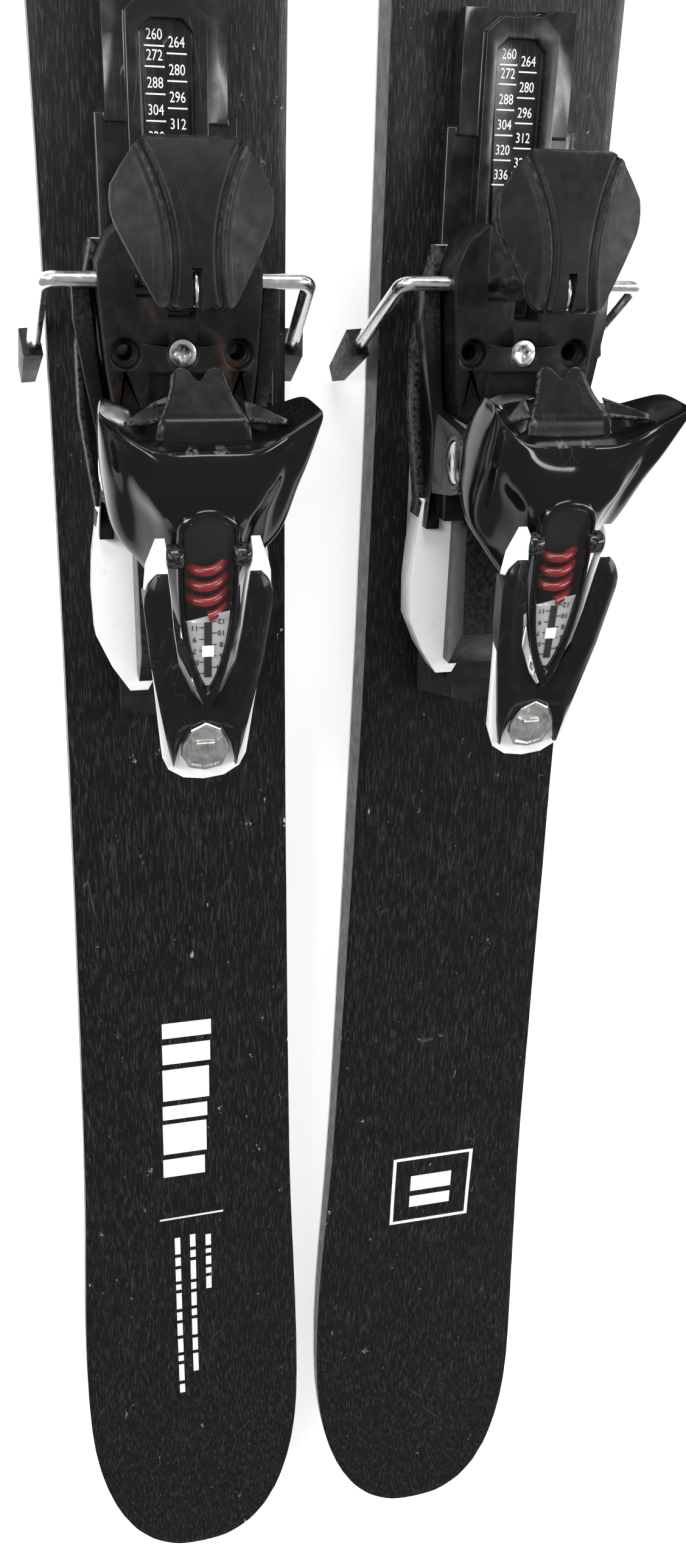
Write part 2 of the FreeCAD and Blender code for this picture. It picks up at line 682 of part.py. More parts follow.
def heel_cup(side, spot):
    """Glossy shell: two wings round the boot heel, hub, spring tube and window rim."""
    made = body(side + "_heel_cup", spot, size("cup_open"))
    plan = [(0, 34), (20, 37), (33.6, 53), (33, 35), (30.5, 13), (26.5, -9), (20, -26), (12, -33)]
    pad_up(made, both_sides(plan), 14, 60)
    keep_inside(made, [(54, -20), (54, 30), (51, 31.5), (40, 30), (30, 28.3), (14, 37.5), (4, 38.5),
                       (-30, 42), (-40, 40), (-40, -20)])
    shell = [(0, 33), (20, 37), (33.6, 53), (33, 35), (26.8, 30), (26.8, -14)]
    pad_up(made, both_sides(shell), -6, 20)
    pad_up(made, both_sides(BULLET), 20, 80)
    cover_low = [(60, -20), (60, 40), (28, 28), (13, 39.7), (-57, 68), (-57, 54), (-46, 46), (-14, -6),
                 (-10, -20)]
    keep_inside(made, cover_low)
    tube = size("cavity_radius") + size("tube_wall")
    pad_across(made, tube_outline(tube, 4, size("tube_length")), tube)
    pocket = sketch_on(made, "XY", 60)
    draw_circle(pocket, 0, size("pocket_place"), size("pocket_radius"))
    cut = made.newObject("PartDesign::Pocket", "HeelPocket")
    cut.Profile = pocket
    cut.Length = 90
    spring_bore(made, size("cavity_radius"), 6, 62)
    spring_bore(made, size("screw_radius") + size("pin_gap"), 60, 84)
    cut_across(made, outline=[(60, 31), (53.2, 30.6), (46, 21.5), (38, 11.5), (33.5, 0), (33.5, -20), (60, -20)])
    window = [(6.7, 13.3), (9.3, 9.9), (9.4, -10), (8.9, -24.2), (7.1, -37.3), (3.9, -46.3), (0, -50.4)]
    cut_down(made, both_sides(window), 37, 90)
    cut_across(made, circle=(0, 0, size("pivot_radius") + size("pin_gap")))
    pin_hole = size("lever_pin_radius") + size("pin_gap")
    cut_across(made, circle=(-size("lever_pin_y"), size("lever_pin_z"), pin_hole))
    return made


def treadle(side, spot):
    """Notched tongue under the rim that the boot heel presses down."""
    made = body(side + "_treadle", spot, size("cup_open"))
    pad_across(made, [(28, 15), (33, 15.5), (36, 10), (43, -9), (39.5, -9), (31, 9)], 16)
    webs = pad_across(made, [(27, 16), (34, 16), (34, 12.5), (27, 12.5)], 29)
    webs.Label = side + " side webs"
    for hand in (1, -1):
        cut_down(made, [(8 * hand, 60), (60 * hand, 60), (60 * hand, 34), (16.2 * hand, 34)], -20, 30)
    bore_down(made, [(0, 44.5)], 4.4, -20, 30)
    sketch = sketch_on(made, "XY", 40)
    draw_outline(sketch, [(80, -40), (80, 130), (-80, 130), (-80, -40)])
    draw_circle(sketch, 0, size("pocket_place"), size("pocket_radius") - 0.1)
    rest = made.newObject("PartDesign::Pocket", "Outside")
    rest.Profile = sketch
    rest.Length = 70
    return made


def heel_pivot(side, spot):
    """Steel pin through the cheeks and the hub, with a domed head on each side."""
    made = body(side + "_heel_pivot", spot)
    sketch = sketch_on(made, "YZ")
    draw_circle(sketch, 0, 0, size("pivot_radius"))
    shaft = made.newObject("PartDesign::Pad", "Shaft")
    shaft.Profile = sketch
    shaft.SideType = "Symmetric"
    bind(shaft, "Length", size("cheek_out") * 2)
    sketch = sketch_on(made, "YZ", size("cheek_out"))
    draw_circle(sketch, 0, 0, 7)
    head = made.newObject("PartDesign::Pad", "Head")
    head.Profile = sketch
    head.Length = 1.6
    mirror_across(made, [head])
    return made


def axis_part(label, spot, distance):
    """A body whose Z axis lies on the spring's axis, pointing back."""
    y, z = spring_point(distance)
    open_turn = FreeCAD.Rotation(FreeCAD.Vector(1, 0, 0), size("cup_open").number)
    moved = open_turn.multVec(FreeCAD.Vector(0, y.number, z.number))
    turn = 90 - size("spring_tilt").number + size("cup_open").number
    made = doc.addObject("PartDesign::Body", label)
    made.Label = label
    place(made, (spot[0], spot[1] + moved.y, spot[2] + moved.z), turn)
    return made


def heel_spring(side, spot):
    """Red release spring, a coil of round wire."""
    label = side + "_heel_spring"
    y, z = spring_point(9)
    open_turn = FreeCAD.Rotation(FreeCAD.Vector(1, 0, 0), size("cup_open").number)
    moved = open_turn.multVec(FreeCAD.Vector(0, y.number, z.number))
    coil = doc.addObject("Part::Helix", side + "SpringCoil")
    bind(coil, "Pitch", size("spring_pitch"))
    bind(coil, "Height", size("spring_length"))
    bind(coil, "Radius", size("spring_radius"))
    profile = doc.addObject("Part::Circle", side + "SpringWire")
    bind(profile, "Radius", size("spring_wire"))
    profile.Placement = FreeCAD.Placement(FreeCAD.Vector(size("spring_radius").number, 0, 0),
                                          FreeCAD.Rotation(FreeCAD.Vector(1, 0, 0), 90))
    made = doc.addObject("Part::Sweep", label)
    made.Label = label
    made.Sections = [profile]
    made.Spine = (coil, ["Edge1"])
    made.Solid = True
    made.Frenet = True
    turn = 90 - size("spring_tilt").number + size("cup_open").number
    place(made, (spot[0], spot[1] + moved.y, spot[2] + moved.z), turn)
    return made


def spring_nut(side, spot):
    """Nut that the adjusting screw draws along, with the pointer of the scale on it."""
    made = axis_part(side + "_spring_nut", spot, 52)
    post_up(made, 0, 0, size("cavity_radius") - 0.3, 0, 5)
    bore_down(made, [(0, 0)], size("screw_radius") + size("pin_gap"), -1, 6)
    return made


def heel_screw(side, spot):
    """Release adjusting screw along the spring's axis, with a slotted head at the back."""
    made = axis_part(side + "_heel_screw", spot, 49)
    end = size("tube_length").number - 49
    post_up(made, 0, 0, size("screw_radius"), 0, end + 1)
    post_up(made, 0, 0, 5.5, end + 0.3, end + 4.5)
    cut_down(made, [(6, 0.7), (6, -0.7), (-6, -0.7), (-6, 0.7)], end + 2.5, end + 6)
    return made


def heel_window(side, spot):
    """Clear pane over the spring, rounded at the front and pointed at the back."""
    made = body(side + "_heel_window", spot, size("cup_open"))
    plan = [(6.5, 13), (9, 9.7), (9.1, -10), (8.6, -24), (6.8, -37), (3.6, -46), (0, -50)]
    pad_up(made, both_sides(plan), 30, 80)
    keep_inside(made, [(13.5, 37.2), (13.5, 39.2), (-51, 65.2), (-51, 63.2)])
    return made


def lever_band(low, high, front=8, rear=-98):
    """Side outline between two depths below the lever's top surface."""
    return [(front, lever_line(front) - low), (rear, lever_line(rear) - low),
            (rear, lever_line(rear) - high), (front, lever_line(front) - high)]


LEVER_GAP = [(15.2, 8), (15.2, 0), (13.4, -14), (12.2, -28), (10.2, -42), (5, -54), (0, -61)]


def lever_frame(side, spot):
    """White fork of the opening lever, with stub pins in the cup."""
    made = body(side + "_lever_frame", spot, size("cup_open"))
    outer = [(18.5, 3.5), (22, -6), (22.8, -17), (16.4, -84), (14, -90), (8, -94.3), (0, -95.5)]
    pad_up(made, both_sides(outer), 20, 90)
    keep_inside(made, lever_band(size("cover_depth"), size("lever_depth")))
    cut_down(made, both_sides(LEVER_GAP), 10, 100)
    sketch = sketch_on(made, "YZ", 9.9)
    draw_circle(sketch, -size("lever_pin_y"), size("lever_pin_z"), size("lever_pin_radius"))
    stub = made.newObject("PartDesign::Pad", "Stub")
    stub.Profile = sketch
    stub.Length = 6
    mirror_across(made, [stub])
    return made


def lever_cover(side, spot):
    """Black V-shaped cap on the lever, with a round bay at the back."""
    made = body(side + "_lever_cover", spot, size("cup_open"))
    outer = [(20.5, -6), (21.6, -17), (14.6, -84), (13.6, -88), (12.2, -88), (9.9, -77), (6, -69.5), (0, -66.5)]
    pad_up(made, both_sides(outer), 20, 90)
    keep_inside(made, lever_band(0, size("cover_depth")))
    cut_down(made, both_sides(LEVER_GAP), 10, 100)
    return made


def lever_plate(side, spot):
    """Bright stamped plate in the bay, pushed with a ski pole to open the heel."""
    made = body(side + "_lever_plate", spot, size("cup_open"))
    plan = [(0, -67.4), (5.4, -70.4), (9.2, -78), (9.2, -81), (6.5, -87.4), (0, -88.4)]
    pad_up(made, both_sides(plan), 20, 90)
    keep_inside(made, lever_band(1, size("cover_depth")))
    return made


# ---- toe frame ----


def toe_base(side, spot):
    """Base plate with a shallow bay for the sliding sole plate."""
    made = body(side + "_toe_base", spot)
    half = size("toe_base_half")
    pad_up(made, both_sides([(half - 10, 62), (half, 52), (half, -72), (half - 6, -80)]), 0,
           size("toe_base_top"))
    bay = size("afd_half") + size("afd_travel") + 0.6
    cut_down(made, both_sides([(bay, -23), (bay, -64)]), 9, size("toe_base_top") + 1)
    bore_down(made, TOE_SCREWS, SCREW_SHANK + 0.1, -1, 20)
    bore_down(made, TOE_SCREWS, SCREW_HEAD + 0.3, 7, 20)
    return made


def afd_plate(side, spot):
    """Low-friction plate under the boot's toe that slides sideways."""
    made = body(side + "_afd_plate", spot)
    pad_up(made, both_sides([(size("afd_half"), -24), (size("afd_half"), -63)]), 9.4, 16)
    return made


def toe_housing(side, spot):
    """Spring housing with ears above and below the wing hubs and a pin for each wing."""
    made = body(side + "_toe_housing", spot)
    low, top = size("toe_base_top"), size("toe_top")
    pad_up(made, both_sides([(24, 9), (24, 30), (17, 56)][::-1]), low, top)
    pad_up(made, both_sides([(28, 12), (28, -8), (20, -12)]), low, size("wing_low") - 0.3)
    pad_up(made, both_sides([(28, 12), (28, -8), (20, -12)]), size("wing_high") + 0.3, top)
    pad_up(made, both_sides([(10.5, 12), (10.5, -12)]), low, top)
    post_up(made, size("wing_place"), 0, size("wing_pin"), low + 1, top - 1)
    post_up(made, -size("wing_place"), 0, size("wing_pin"), low + 1, top - 1)
    keep_inside(made, [(-20, 10), (-20, 52), (20, 52), (60, 42), (60, 10)])
    for radius, front in ((4.05, 57), (8.4, 57)):
        sketch = sketch_on(made, "XZ", -front)
        draw_circle(sketch, 0, 28, radius)
        bore = made.newObject("PartDesign::Pocket", "ScrewBore")
        bore.Profile = sketch
        bore.Reversed = True
        bore.Length = 20 if radius < 5 else 6
    return made


def toe_wing(label, spot, hand):
    """Wing that holds one side of the boot's toe, turning on an upright pin."""
    made = body(label, spot)
    low, high = size("wing_low"), size("wing_high")
    plan = [(15, -5), (22, -13), (29, -20), (31.5, -28), (29, -40), (34, -41), (38, -34), (37, -18),
            (32, -6), (26, 3), (20, 5)]
    hook = [(22, -13), (26, -28), (23, -39), (30, -41), (33, -28), (30, -16)]
    pad_up(made, [(dim(x) * hand, y) for x, y in plan], low, high)
    pad_up(made, [(dim(x) * hand, y) for x, y in hook], high - 6, high)
    centre = size("wing_place") * hand
    post_up(made, centre, 0, size("wing_hub"), low, high)
    bore_down(made, [(centre, 0)], size("wing_pin") + size("pin_gap"), low - 1, high + 1)
    return made


def toe_screw(side, spot):
    """Release adjusting screw in the front of the toe housing."""
    made = body(side + "_toe_screw", spot)
    for radius, start, length in ((4, -38, 17), (8, -52, 5)):
        sketch = sketch_on(made, "XZ", start)
        draw_circle(sketch, 0, 28, radius)
        pad = made.newObject("PartDesign::Pad", "Round")
        pad.Profile = sketch
        pad.Reversed = True
        pad.Length = length
    cut = sketch_on(made, "XZ", -58)
    draw_outline(cut, [(-9, 27), (9, 27), (9, 29), (-9, 29)])
    slot = made.newObject("PartDesign::Pocket", "Slot")
    slot.Profile = cut
    slot.Reversed = True
    slot.Length = 3
    return made


# ---- the pair ----

middle_of_ski = size("ski_length") / 2
deck = size("ski_lift") + size("deck_height")
parts = []
for side, hand in (("left", -1), ("right", 1)):
    centre = size("ski_spacing") / 2 * hand
    heel = (centre, size("heel_place") - middle_of_ski, deck)
    toe = (centre, size("toe_place") - middle_of_ski, deck)
    brake = (centre, heel[1] + size("brake_place"), deck + size("brake_rise"))
    cup = (centre, heel[1] - size("cup_back"), deck + size("cup_rise"))
    parts += ski_layers(side, centre)
    parts += [heel_track(side, heel), heel_carriage(side, heel), heel_tower(side, heel),
              brake_housing(side, heel), housing_screw(side, heel), binding_screws(side, heel, toe)]
    parts += [brake_wire(side, brake), brake_paddles(side, brake), brake_pad(side, brake)]
    parts += [heel_cup(side, cup), treadle(side, cup), heel_pivot(side, cup), heel_spring(side, cup),
              spring_nut(side, cup), heel_screw(side, cup), heel_window(side, cup),
              lever_frame(side, cup), lever_cover(side, cup), lever_plate(side, cup)]
    parts += [toe_base(side, toe), afd_plate(side, toe), toe_housing(side, toe), toe_screw(side, toe),
              toe_wing(side + "_toe_wing_inner", toe, -hand), toe_wing(side + "_toe_wing_outer", toe, hand)]

doc.recompute()
faults = [thing.Label for thing in doc.Objects if "Invalid" in thing.State or "Error" in thing.State]
faults += [made.Label for made in parts if made.Shape.isNull() or not made.Shape.isValid()]
if faults:
    raise RuntimeError("not built: " + ", ".join(faults))

os.makedirs("parts", exist_ok=True)
for made in parts:
    made.Shape.exportStep("parts/%s.step" % made.Label)
    print("%-28s %9.0f mm3" % (made.Label, made.Shape.Volume))
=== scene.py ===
"""Looks for a pair of alpine skis with bindings: skis, tracks, brakes, heel cups and levers.

Lengths in this file are millimetres in a piece's own frame and metres in the scene.
"""

import json
import math

import bmesh
import bpy
import numpy as np
from bpy.props import FloatProperty, FloatVectorProperty, PointerProperty
from mathutils import Matrix, Vector


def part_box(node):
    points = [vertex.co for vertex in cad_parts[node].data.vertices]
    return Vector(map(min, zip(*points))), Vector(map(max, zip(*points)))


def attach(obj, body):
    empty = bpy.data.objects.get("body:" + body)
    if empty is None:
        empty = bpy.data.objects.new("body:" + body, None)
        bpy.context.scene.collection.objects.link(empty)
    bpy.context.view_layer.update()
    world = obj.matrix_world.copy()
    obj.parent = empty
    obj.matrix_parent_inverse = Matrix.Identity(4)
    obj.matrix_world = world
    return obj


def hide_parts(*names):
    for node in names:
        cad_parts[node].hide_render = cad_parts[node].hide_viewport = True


bl_info = {
    "name": "Alpine skis with bindings",
    "version": (1, 0, 0),
    "blender": (4, 5, 0),
    "location": "3D View > Sidebar > Skis",
    "description": "Dresses a pair of skis and their bindings",
    "category": "Object",
}

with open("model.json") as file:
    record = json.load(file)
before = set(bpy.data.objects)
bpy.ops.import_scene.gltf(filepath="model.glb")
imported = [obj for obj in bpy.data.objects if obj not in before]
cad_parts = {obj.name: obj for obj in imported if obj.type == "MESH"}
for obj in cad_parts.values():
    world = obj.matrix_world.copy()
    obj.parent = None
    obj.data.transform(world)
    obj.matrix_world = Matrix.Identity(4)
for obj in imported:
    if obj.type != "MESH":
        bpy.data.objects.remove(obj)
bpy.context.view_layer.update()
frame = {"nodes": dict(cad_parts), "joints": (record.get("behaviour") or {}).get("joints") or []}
JOINTS = {joint["name"]: joint for joint in frame["joints"]}
SIDES = ("left", "right")
MM = 0.001
BUILT = {}


# ---- frames ----

def joint_place(name):
    """Where a joint's axis is, in metres."""
    return Vector(JOINTS[name]["pos_m"])


def frame_at(place, tilt=0.0):
    """Matrix from a piece's own millimetres to the scene."""
    return Matrix.Translation(place) @ Matrix.Rotation(math.radians(tilt), 4, "X") @ Matrix.Scale(MM, 4)


def heel_frame(side):
    """Origin on the deck under the housing screw."""
    return frame_at(joint_place(side + "_brake_fold") - Vector((0, 0.025, 0.036)))


def cup_frame(side):
    """Origin on the cup's pivot, turned with the open cup."""
    return frame_at(joint_place(side + "_heel_close"), 30)


def pad_frame(side):
    """Origin on the pad's axis, tilted with the pad."""
    return frame_at(joint_place(side + "_pedal_turn"), -8.6)


# ---- meshes ----

def finish_mesh(name, mesh, body, finish, replaced=(), levels=0, smooth=40):
    """Makes the object of a mesh, with its finish, body and modifiers."""
    piece = bpy.data.objects.new(name, mesh)
    bpy.context.scene.collection.objects.link(piece)
    mesh.materials.append(BUILT[finish])
    if smooth:
        mesh.shade_smooth()
        if smooth < 180:
            mesh.set_sharp_from_angle(angle=math.radians(smooth))
    if levels:
        rounding = piece.modifiers.new("Rounding", "SUBSURF")
        rounding.levels = levels
        rounding.render_levels = levels
    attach(piece, body)
    if replaced:
        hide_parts(*replaced)
    return piece


def mesh_of(name, points, faces, matrix=None):
    """Mesh of points and faces, with its faces turned outwards."""
    mesh = bpy.data.meshes.new(name)
    work = bmesh.new()
    corners = [work.verts.new(matrix @ Vector(p) if matrix else Vector(p)) for p in points]
    for face in faces:
        spots = [corners[i] for i in face]
        if len(set(spots)) > 2:
            work.faces.new(list(dict.fromkeys(spots)))
    bmesh.ops.recalc_face_normals(work, faces=work.faces)
    work.to_mesh(mesh)
    work.free()
    return mesh


def band_faces(count, rows, base=0):
    """Faces between closed rings of points that follow one another."""
    faces = []
    for row in range(rows - 1):
        near = base + row * count
        for i in range(count):
            j = (i + 1) % count
            faces.append((near + i, near + j, near + count + j, near + count + i))
    return faces


def loft(name, rings, matrix):
    """Closed rings joined one to the next, with a cap on each end."""
    count = len(rings[0])
    last = (len(rings) - 1) * count
    faces = band_faces(count, len(rings))
    faces += [tuple(range(count)), tuple(range(last, last + count))]
    return mesh_of(name, [p for ring in rings for p in ring], faces, matrix)


def turned(name, hand, base, centre, profile, steps, matrix):
    """Rings round an axis across the ski, each given by its distance out and its radius."""
    y, z = centre
    turns = np.linspace(0, 2 * math.pi, steps, endpoint=False)
    rings = []
    for out, radius in profile:
        x = hand * (base + out)
        rings.append([(x, y + radius * math.cos(turn), z + radius * math.sin(turn)) for turn in turns])
    return loft(name, rings, matrix)


def welded(mesh, gap, unwanted=None):
    """Joins doubled points, drops unwanted faces and turns the faces outwards."""
    work = bmesh.new()
    work.from_mesh(mesh)
    bmesh.ops.remove_doubles(work, verts=work.verts, dist=gap)
    if unwanted:
        bmesh.ops.delete(work, geom=[face for face in work.faces if unwanted(face)], context="FACES")
    bmesh.ops.recalc_face_normals(work, faces=work.faces)
    work.to_mesh(mesh)
    work.free()
    return mesh


def folded_loft(name, halves, matrix):
    """Rings given by their right halves, top middle to bottom middle, capped by strips."""
    half = len(halves[0])
    rings = [ring + [(-x, y, z) for x, y, z in reversed(ring[1:-1])] for ring in halves]
    count = len(rings[0])
    faces = band_faces(count, len(rings))
    for base in (0, (len(rings) - 1) * count):
        for i in range(half // 2):
            right = (i, i + 1, half - 2 - i, half - 1 - i)
            faces.append(tuple(base + k for k in right))
            faces.append(tuple(base + (count - k) % count for k in right))
    return mesh_of(name, [p for ring in rings for p in ring], faces, matrix)


def smooth_line(points, steps):
    """Points on a smooth line through the given ones."""
    points = np.asarray(points, float)
    ends = np.vstack([2 * points[0] - points[1], points, 2 * points[-1] - points[-2]])
    made = []
    for a, b, c, d in zip(ends, ends[1:], ends[2:], ends[3:]):
        for k in range(steps):
            t = k / steps
            made.append(0.5 * (2 * b + (c - a) * t + (2 * a - 5 * b + 4 * c - d) * t * t
                               + (3 * b - a - 3 * c + d) * t ** 3))
    made.append(points[-1])
    return np.array(made)


def smooth_halves(halves, along, around):
    """Half rings with more points each way, on a surface through the given ones."""
    fine = np.array([smooth_line(half, around) for half in halves])
    fine[:, 0, 0] = 0
    fine[:, -1, 0] = 0
    columns = [smooth_line(fine[:, k], along) for k in range(fine.shape[1])]
    rows = np.stack(columns, axis=1)
    return [[tuple(p) for p in row] for row in rows]


def grid_sheet(name, rows, matrix):
    """Open sheet of rows of points."""
    count = len(rows[0])
    faces = [(k, k + 1, k + 1 + count, k + count)
             for r in range(len(rows) - 1) for k in range(r * count, (r + 1) * count - 1)]
    return mesh_of(name, [p for row in rows for p in row], faces, matrix)


def thicken(piece, thickness, offset=0):
    """Gives a sheet a thickness in millimetres."""
    solid = piece.modifiers.new("Thickness", "SOLIDIFY")
    solid.thickness = thickness * MM
    solid.offset = offset


def curve_mesh(curve):
    """Mesh of a curve, made through an object that is then removed."""
    maker = bpy.data.objects.new("maker", curve)
    bpy.context.scene.collection.objects.link(maker)
    bpy.context.view_layer.update()
    mesh = bpy.data.meshes.new_from_object(maker.evaluated_get(bpy.context.evaluated_depsgraph_get()))
    bpy.data.objects.remove(maker)
    return mesh


def tube(name, points, radius, body, finish, replaced=()):
    """Round bar along a smooth line of scene points."""
    curve = bpy.data.curves.new(name, "CURVE")
    curve.dimensions = "3D"
    curve.bevel_depth = radius * MM
    curve.bevel_resolution = 5
    curve.use_fill_caps = True
    line = curve.splines.new("NURBS")
    line.points.add(len(points) - 1)
    for spot, point in zip(line.points, points):
        spot.co = (*point, 1)
    line.order_u = 4
    line.use_endpoint_u = True
    line.resolution_u = 4
    mesh = curve_mesh(curve)
    mesh.name = name
    return finish_mesh(name, mesh, body, finish, replaced, smooth=60)


def numeral_mesh(name, words, places, size_mm, height=0.12, narrow=1.0):
    """Flat numerals, each word at the place that its matrix gives."""
    merged = bmesh.new()
    for word, place in zip(words, places):
        curve = bpy.data.curves.new(name, "FONT")
        curve.body = word
        curve.align_x = "CENTER"
        curve.align_y = "CENTER"
        curve.size = size_mm
        curve.extrude = height / 2
        curve.resolution_u = 3
        mesh = curve_mesh(curve)
        mesh.transform(Matrix.Diagonal((narrow, 1, 1, 1)))
        mesh.transform(place)
        merged.from_mesh(mesh)
        bpy.data.meshes.remove(mesh)
    mesh = bpy.data.meshes.new(name)
    merged.to_mesh(mesh)
    merged.free()
    return mesh


def bars_mesh(name, bars, matrix, height=0.12):
    """Flat bars, each (x0, y0, x1, y1, z) or with its own four corners."""
    points = []
    faces = []
    for bar in bars:
        corners = bar
        if not isinstance(bar[0], tuple):
            x0, y0, x1, y1, level = bar
            corners = [(x0, y0, level), (x1, y0, level), (x1, y1, level), (x0, y1, level)]
        base = len(points)
        points += [(x, y, z - height / 2) for x, y, z in corners]
        points += [(x, y, z + height / 2) for x, y, z in corners]
        faces.append((base + 3, base + 2, base + 1, base))
        faces.append((base + 4, base + 5, base + 6, base + 7))
        faces += band_faces(4, 2, base)
    return mesh_of(name, points, faces, matrix)


def dress(node, finish, corner=0.0, segments=3, angle=30):
    """Puts a finish on a kept node and rounds its corners by some millimetres."""
    piece = frame["nodes"][node]
    piece.data.materials.clear()
    piece.data.materials.append(BUILT[finish])
    piece.data.shade_smooth()
    piece.data.set_sharp_from_angle(angle=math.radians(32))
    if corner:
        weld = piece.modifiers.new("Weld", "WELD")
        weld.merge_threshold = 0.00002
        bevel = piece.modifiers.new("Corners", "BEVEL")
        bevel.width = corner * MM
        bevel.segments = segments
        bevel.limit_method = "ANGLE"
        bevel.angle_limit = math.radians(angle)
        bevel.harden_normals = False
        bevel.use_clamp_overlap = True
    return piece


# ---- finishes ----

class Nodes:
    """Short ways to add shader nodes to one material."""

    def __init__(self, name):
        self.material = bpy.data.materials.new(name)
        self.material.use_nodes = True
        self.tree = self.material.node_tree
        self.shader = self.tree.nodes["Principled BSDF"]
        self.place = self.add("ShaderNodeTexCoord").outputs["Object"]
        BUILT[name] = self.material

    def add(self, kind, **values):
        node = self.tree.nodes.new(kind)
        for key, value in values.items():
            setattr(node, key, value)
        return node

    def link(self, source, target):
        self.tree.links.new(source, target)

    def set(self, **values):
        for key, value in values.items():
            self.shader.inputs[key.replace("_", " ")].default_value = value

    def stretched(self, x, y, z):
        node = self.add("ShaderNodeMapping")
        node.inputs["Scale"].default_value = (x, y, z)
        self.link(self.place, node.inputs["Vector"])
        return node.outputs["Vector"]

    def noise(self, scale, detail=3.0, rough=0.5, stretch=(1, 1, 1), bend=0.0):
        node = self.add("ShaderNodeTexNoise")
        node.inputs["Scale"].default_value = scale
        node.inputs["Detail"].default_value = detail
        node.inputs["Roughness"].default_value = rough
        node.inputs["Distortion"].default_value = bend
        self.link(self.stretched(*stretch), node.inputs["Vector"])
        return node.outputs["Fac"]

    def ramp(self, fac, *stops):
        node = self.add("ShaderNodeValToRGB")
        marks = node.color_ramp.elements
        while len(marks) < len(stops):
            marks.new(0.5)
        for mark, (spot, value) in zip(marks, stops):
            mark.position = spot
            mark.color = (*value, 1) if isinstance(value, tuple) else (value, value, value, 1)
        self.link(fac, node.inputs["Fac"])
        return node.outputs["Color"]

    def mix(self, fac, low, high, kind="MIX"):
        node = self.add("ShaderNodeMix", data_type="RGBA", blend_type=kind)
        for socket, value in ((node.inputs[0], fac), (node.inputs[6], low), (node.inputs[7], high)):
            if isinstance(value, (int, float)):
                socket.default_value = value
            elif isinstance(value, tuple):
                socket.default_value = (*value, 1)
            else:
                self.link(value, socket)
        return node.outputs[2]

    def times(self, first, second):
        node = self.add("ShaderNodeMath", operation="MULTIPLY")
        for socket, value in ((node.inputs[0], first), (node.inputs[1], second)):
            if isinstance(value, (int, float)):
                socket.default_value = value
            else:
                self.link(value, socket)
        return node.outputs[0]

    def bump(self, height, strength, depth=0.0002, under=None):
        node = self.add("ShaderNodeBump")
        node.inputs["Strength"].default_value = strength
        node.inputs["Distance"].default_value = depth
        self.link(height, node.inputs["Height"])
        if under:
            self.link(under, node.inputs["Normal"])
        return node.outputs["Normal"]

    def wear(self, low, high):
        """White on worn convex corners."""
        point = self.add("ShaderNodeNewGeometry").outputs["Pointiness"]
        return self.ramp(point, (low, 0.0), (high, 1.0))

    def done(self, color=None, rough=None, normal=None):
        for socket, value in (("Base Color", color), ("Roughness", rough), ("Normal", normal)):
            if value is not None:
                self.link(value, self.shader.inputs[socket])
        return self.material


def scratches(n, scale, turn, thin=0.012):
    """Fine scattered lines: 1 on a line and 0 beside it."""
    spin = n.add("ShaderNodeMapping")
    spin.inputs["Rotation"].default_value = (0, 0, math.radians(turn))
    spin.inputs["Scale"].default_value = (scale, scale * 0.045, scale)
    n.link(n.place, spin.inputs["Vector"])
    cells = n.add("ShaderNodeTexVoronoi", feature="DISTANCE_TO_EDGE")
    cells.inputs["Scale"].default_value = 1
    n.link(spin.outputs["Vector"], cells.inputs["Vector"])
    lines = n.ramp(cells.outputs["Distance"], (0.0, 1.0), (thin, 0.0))
    patches = n.ramp(n.noise(26, 2), (0.56, 0.0), (0.66, 1.0))
    return n.times(lines, patches)


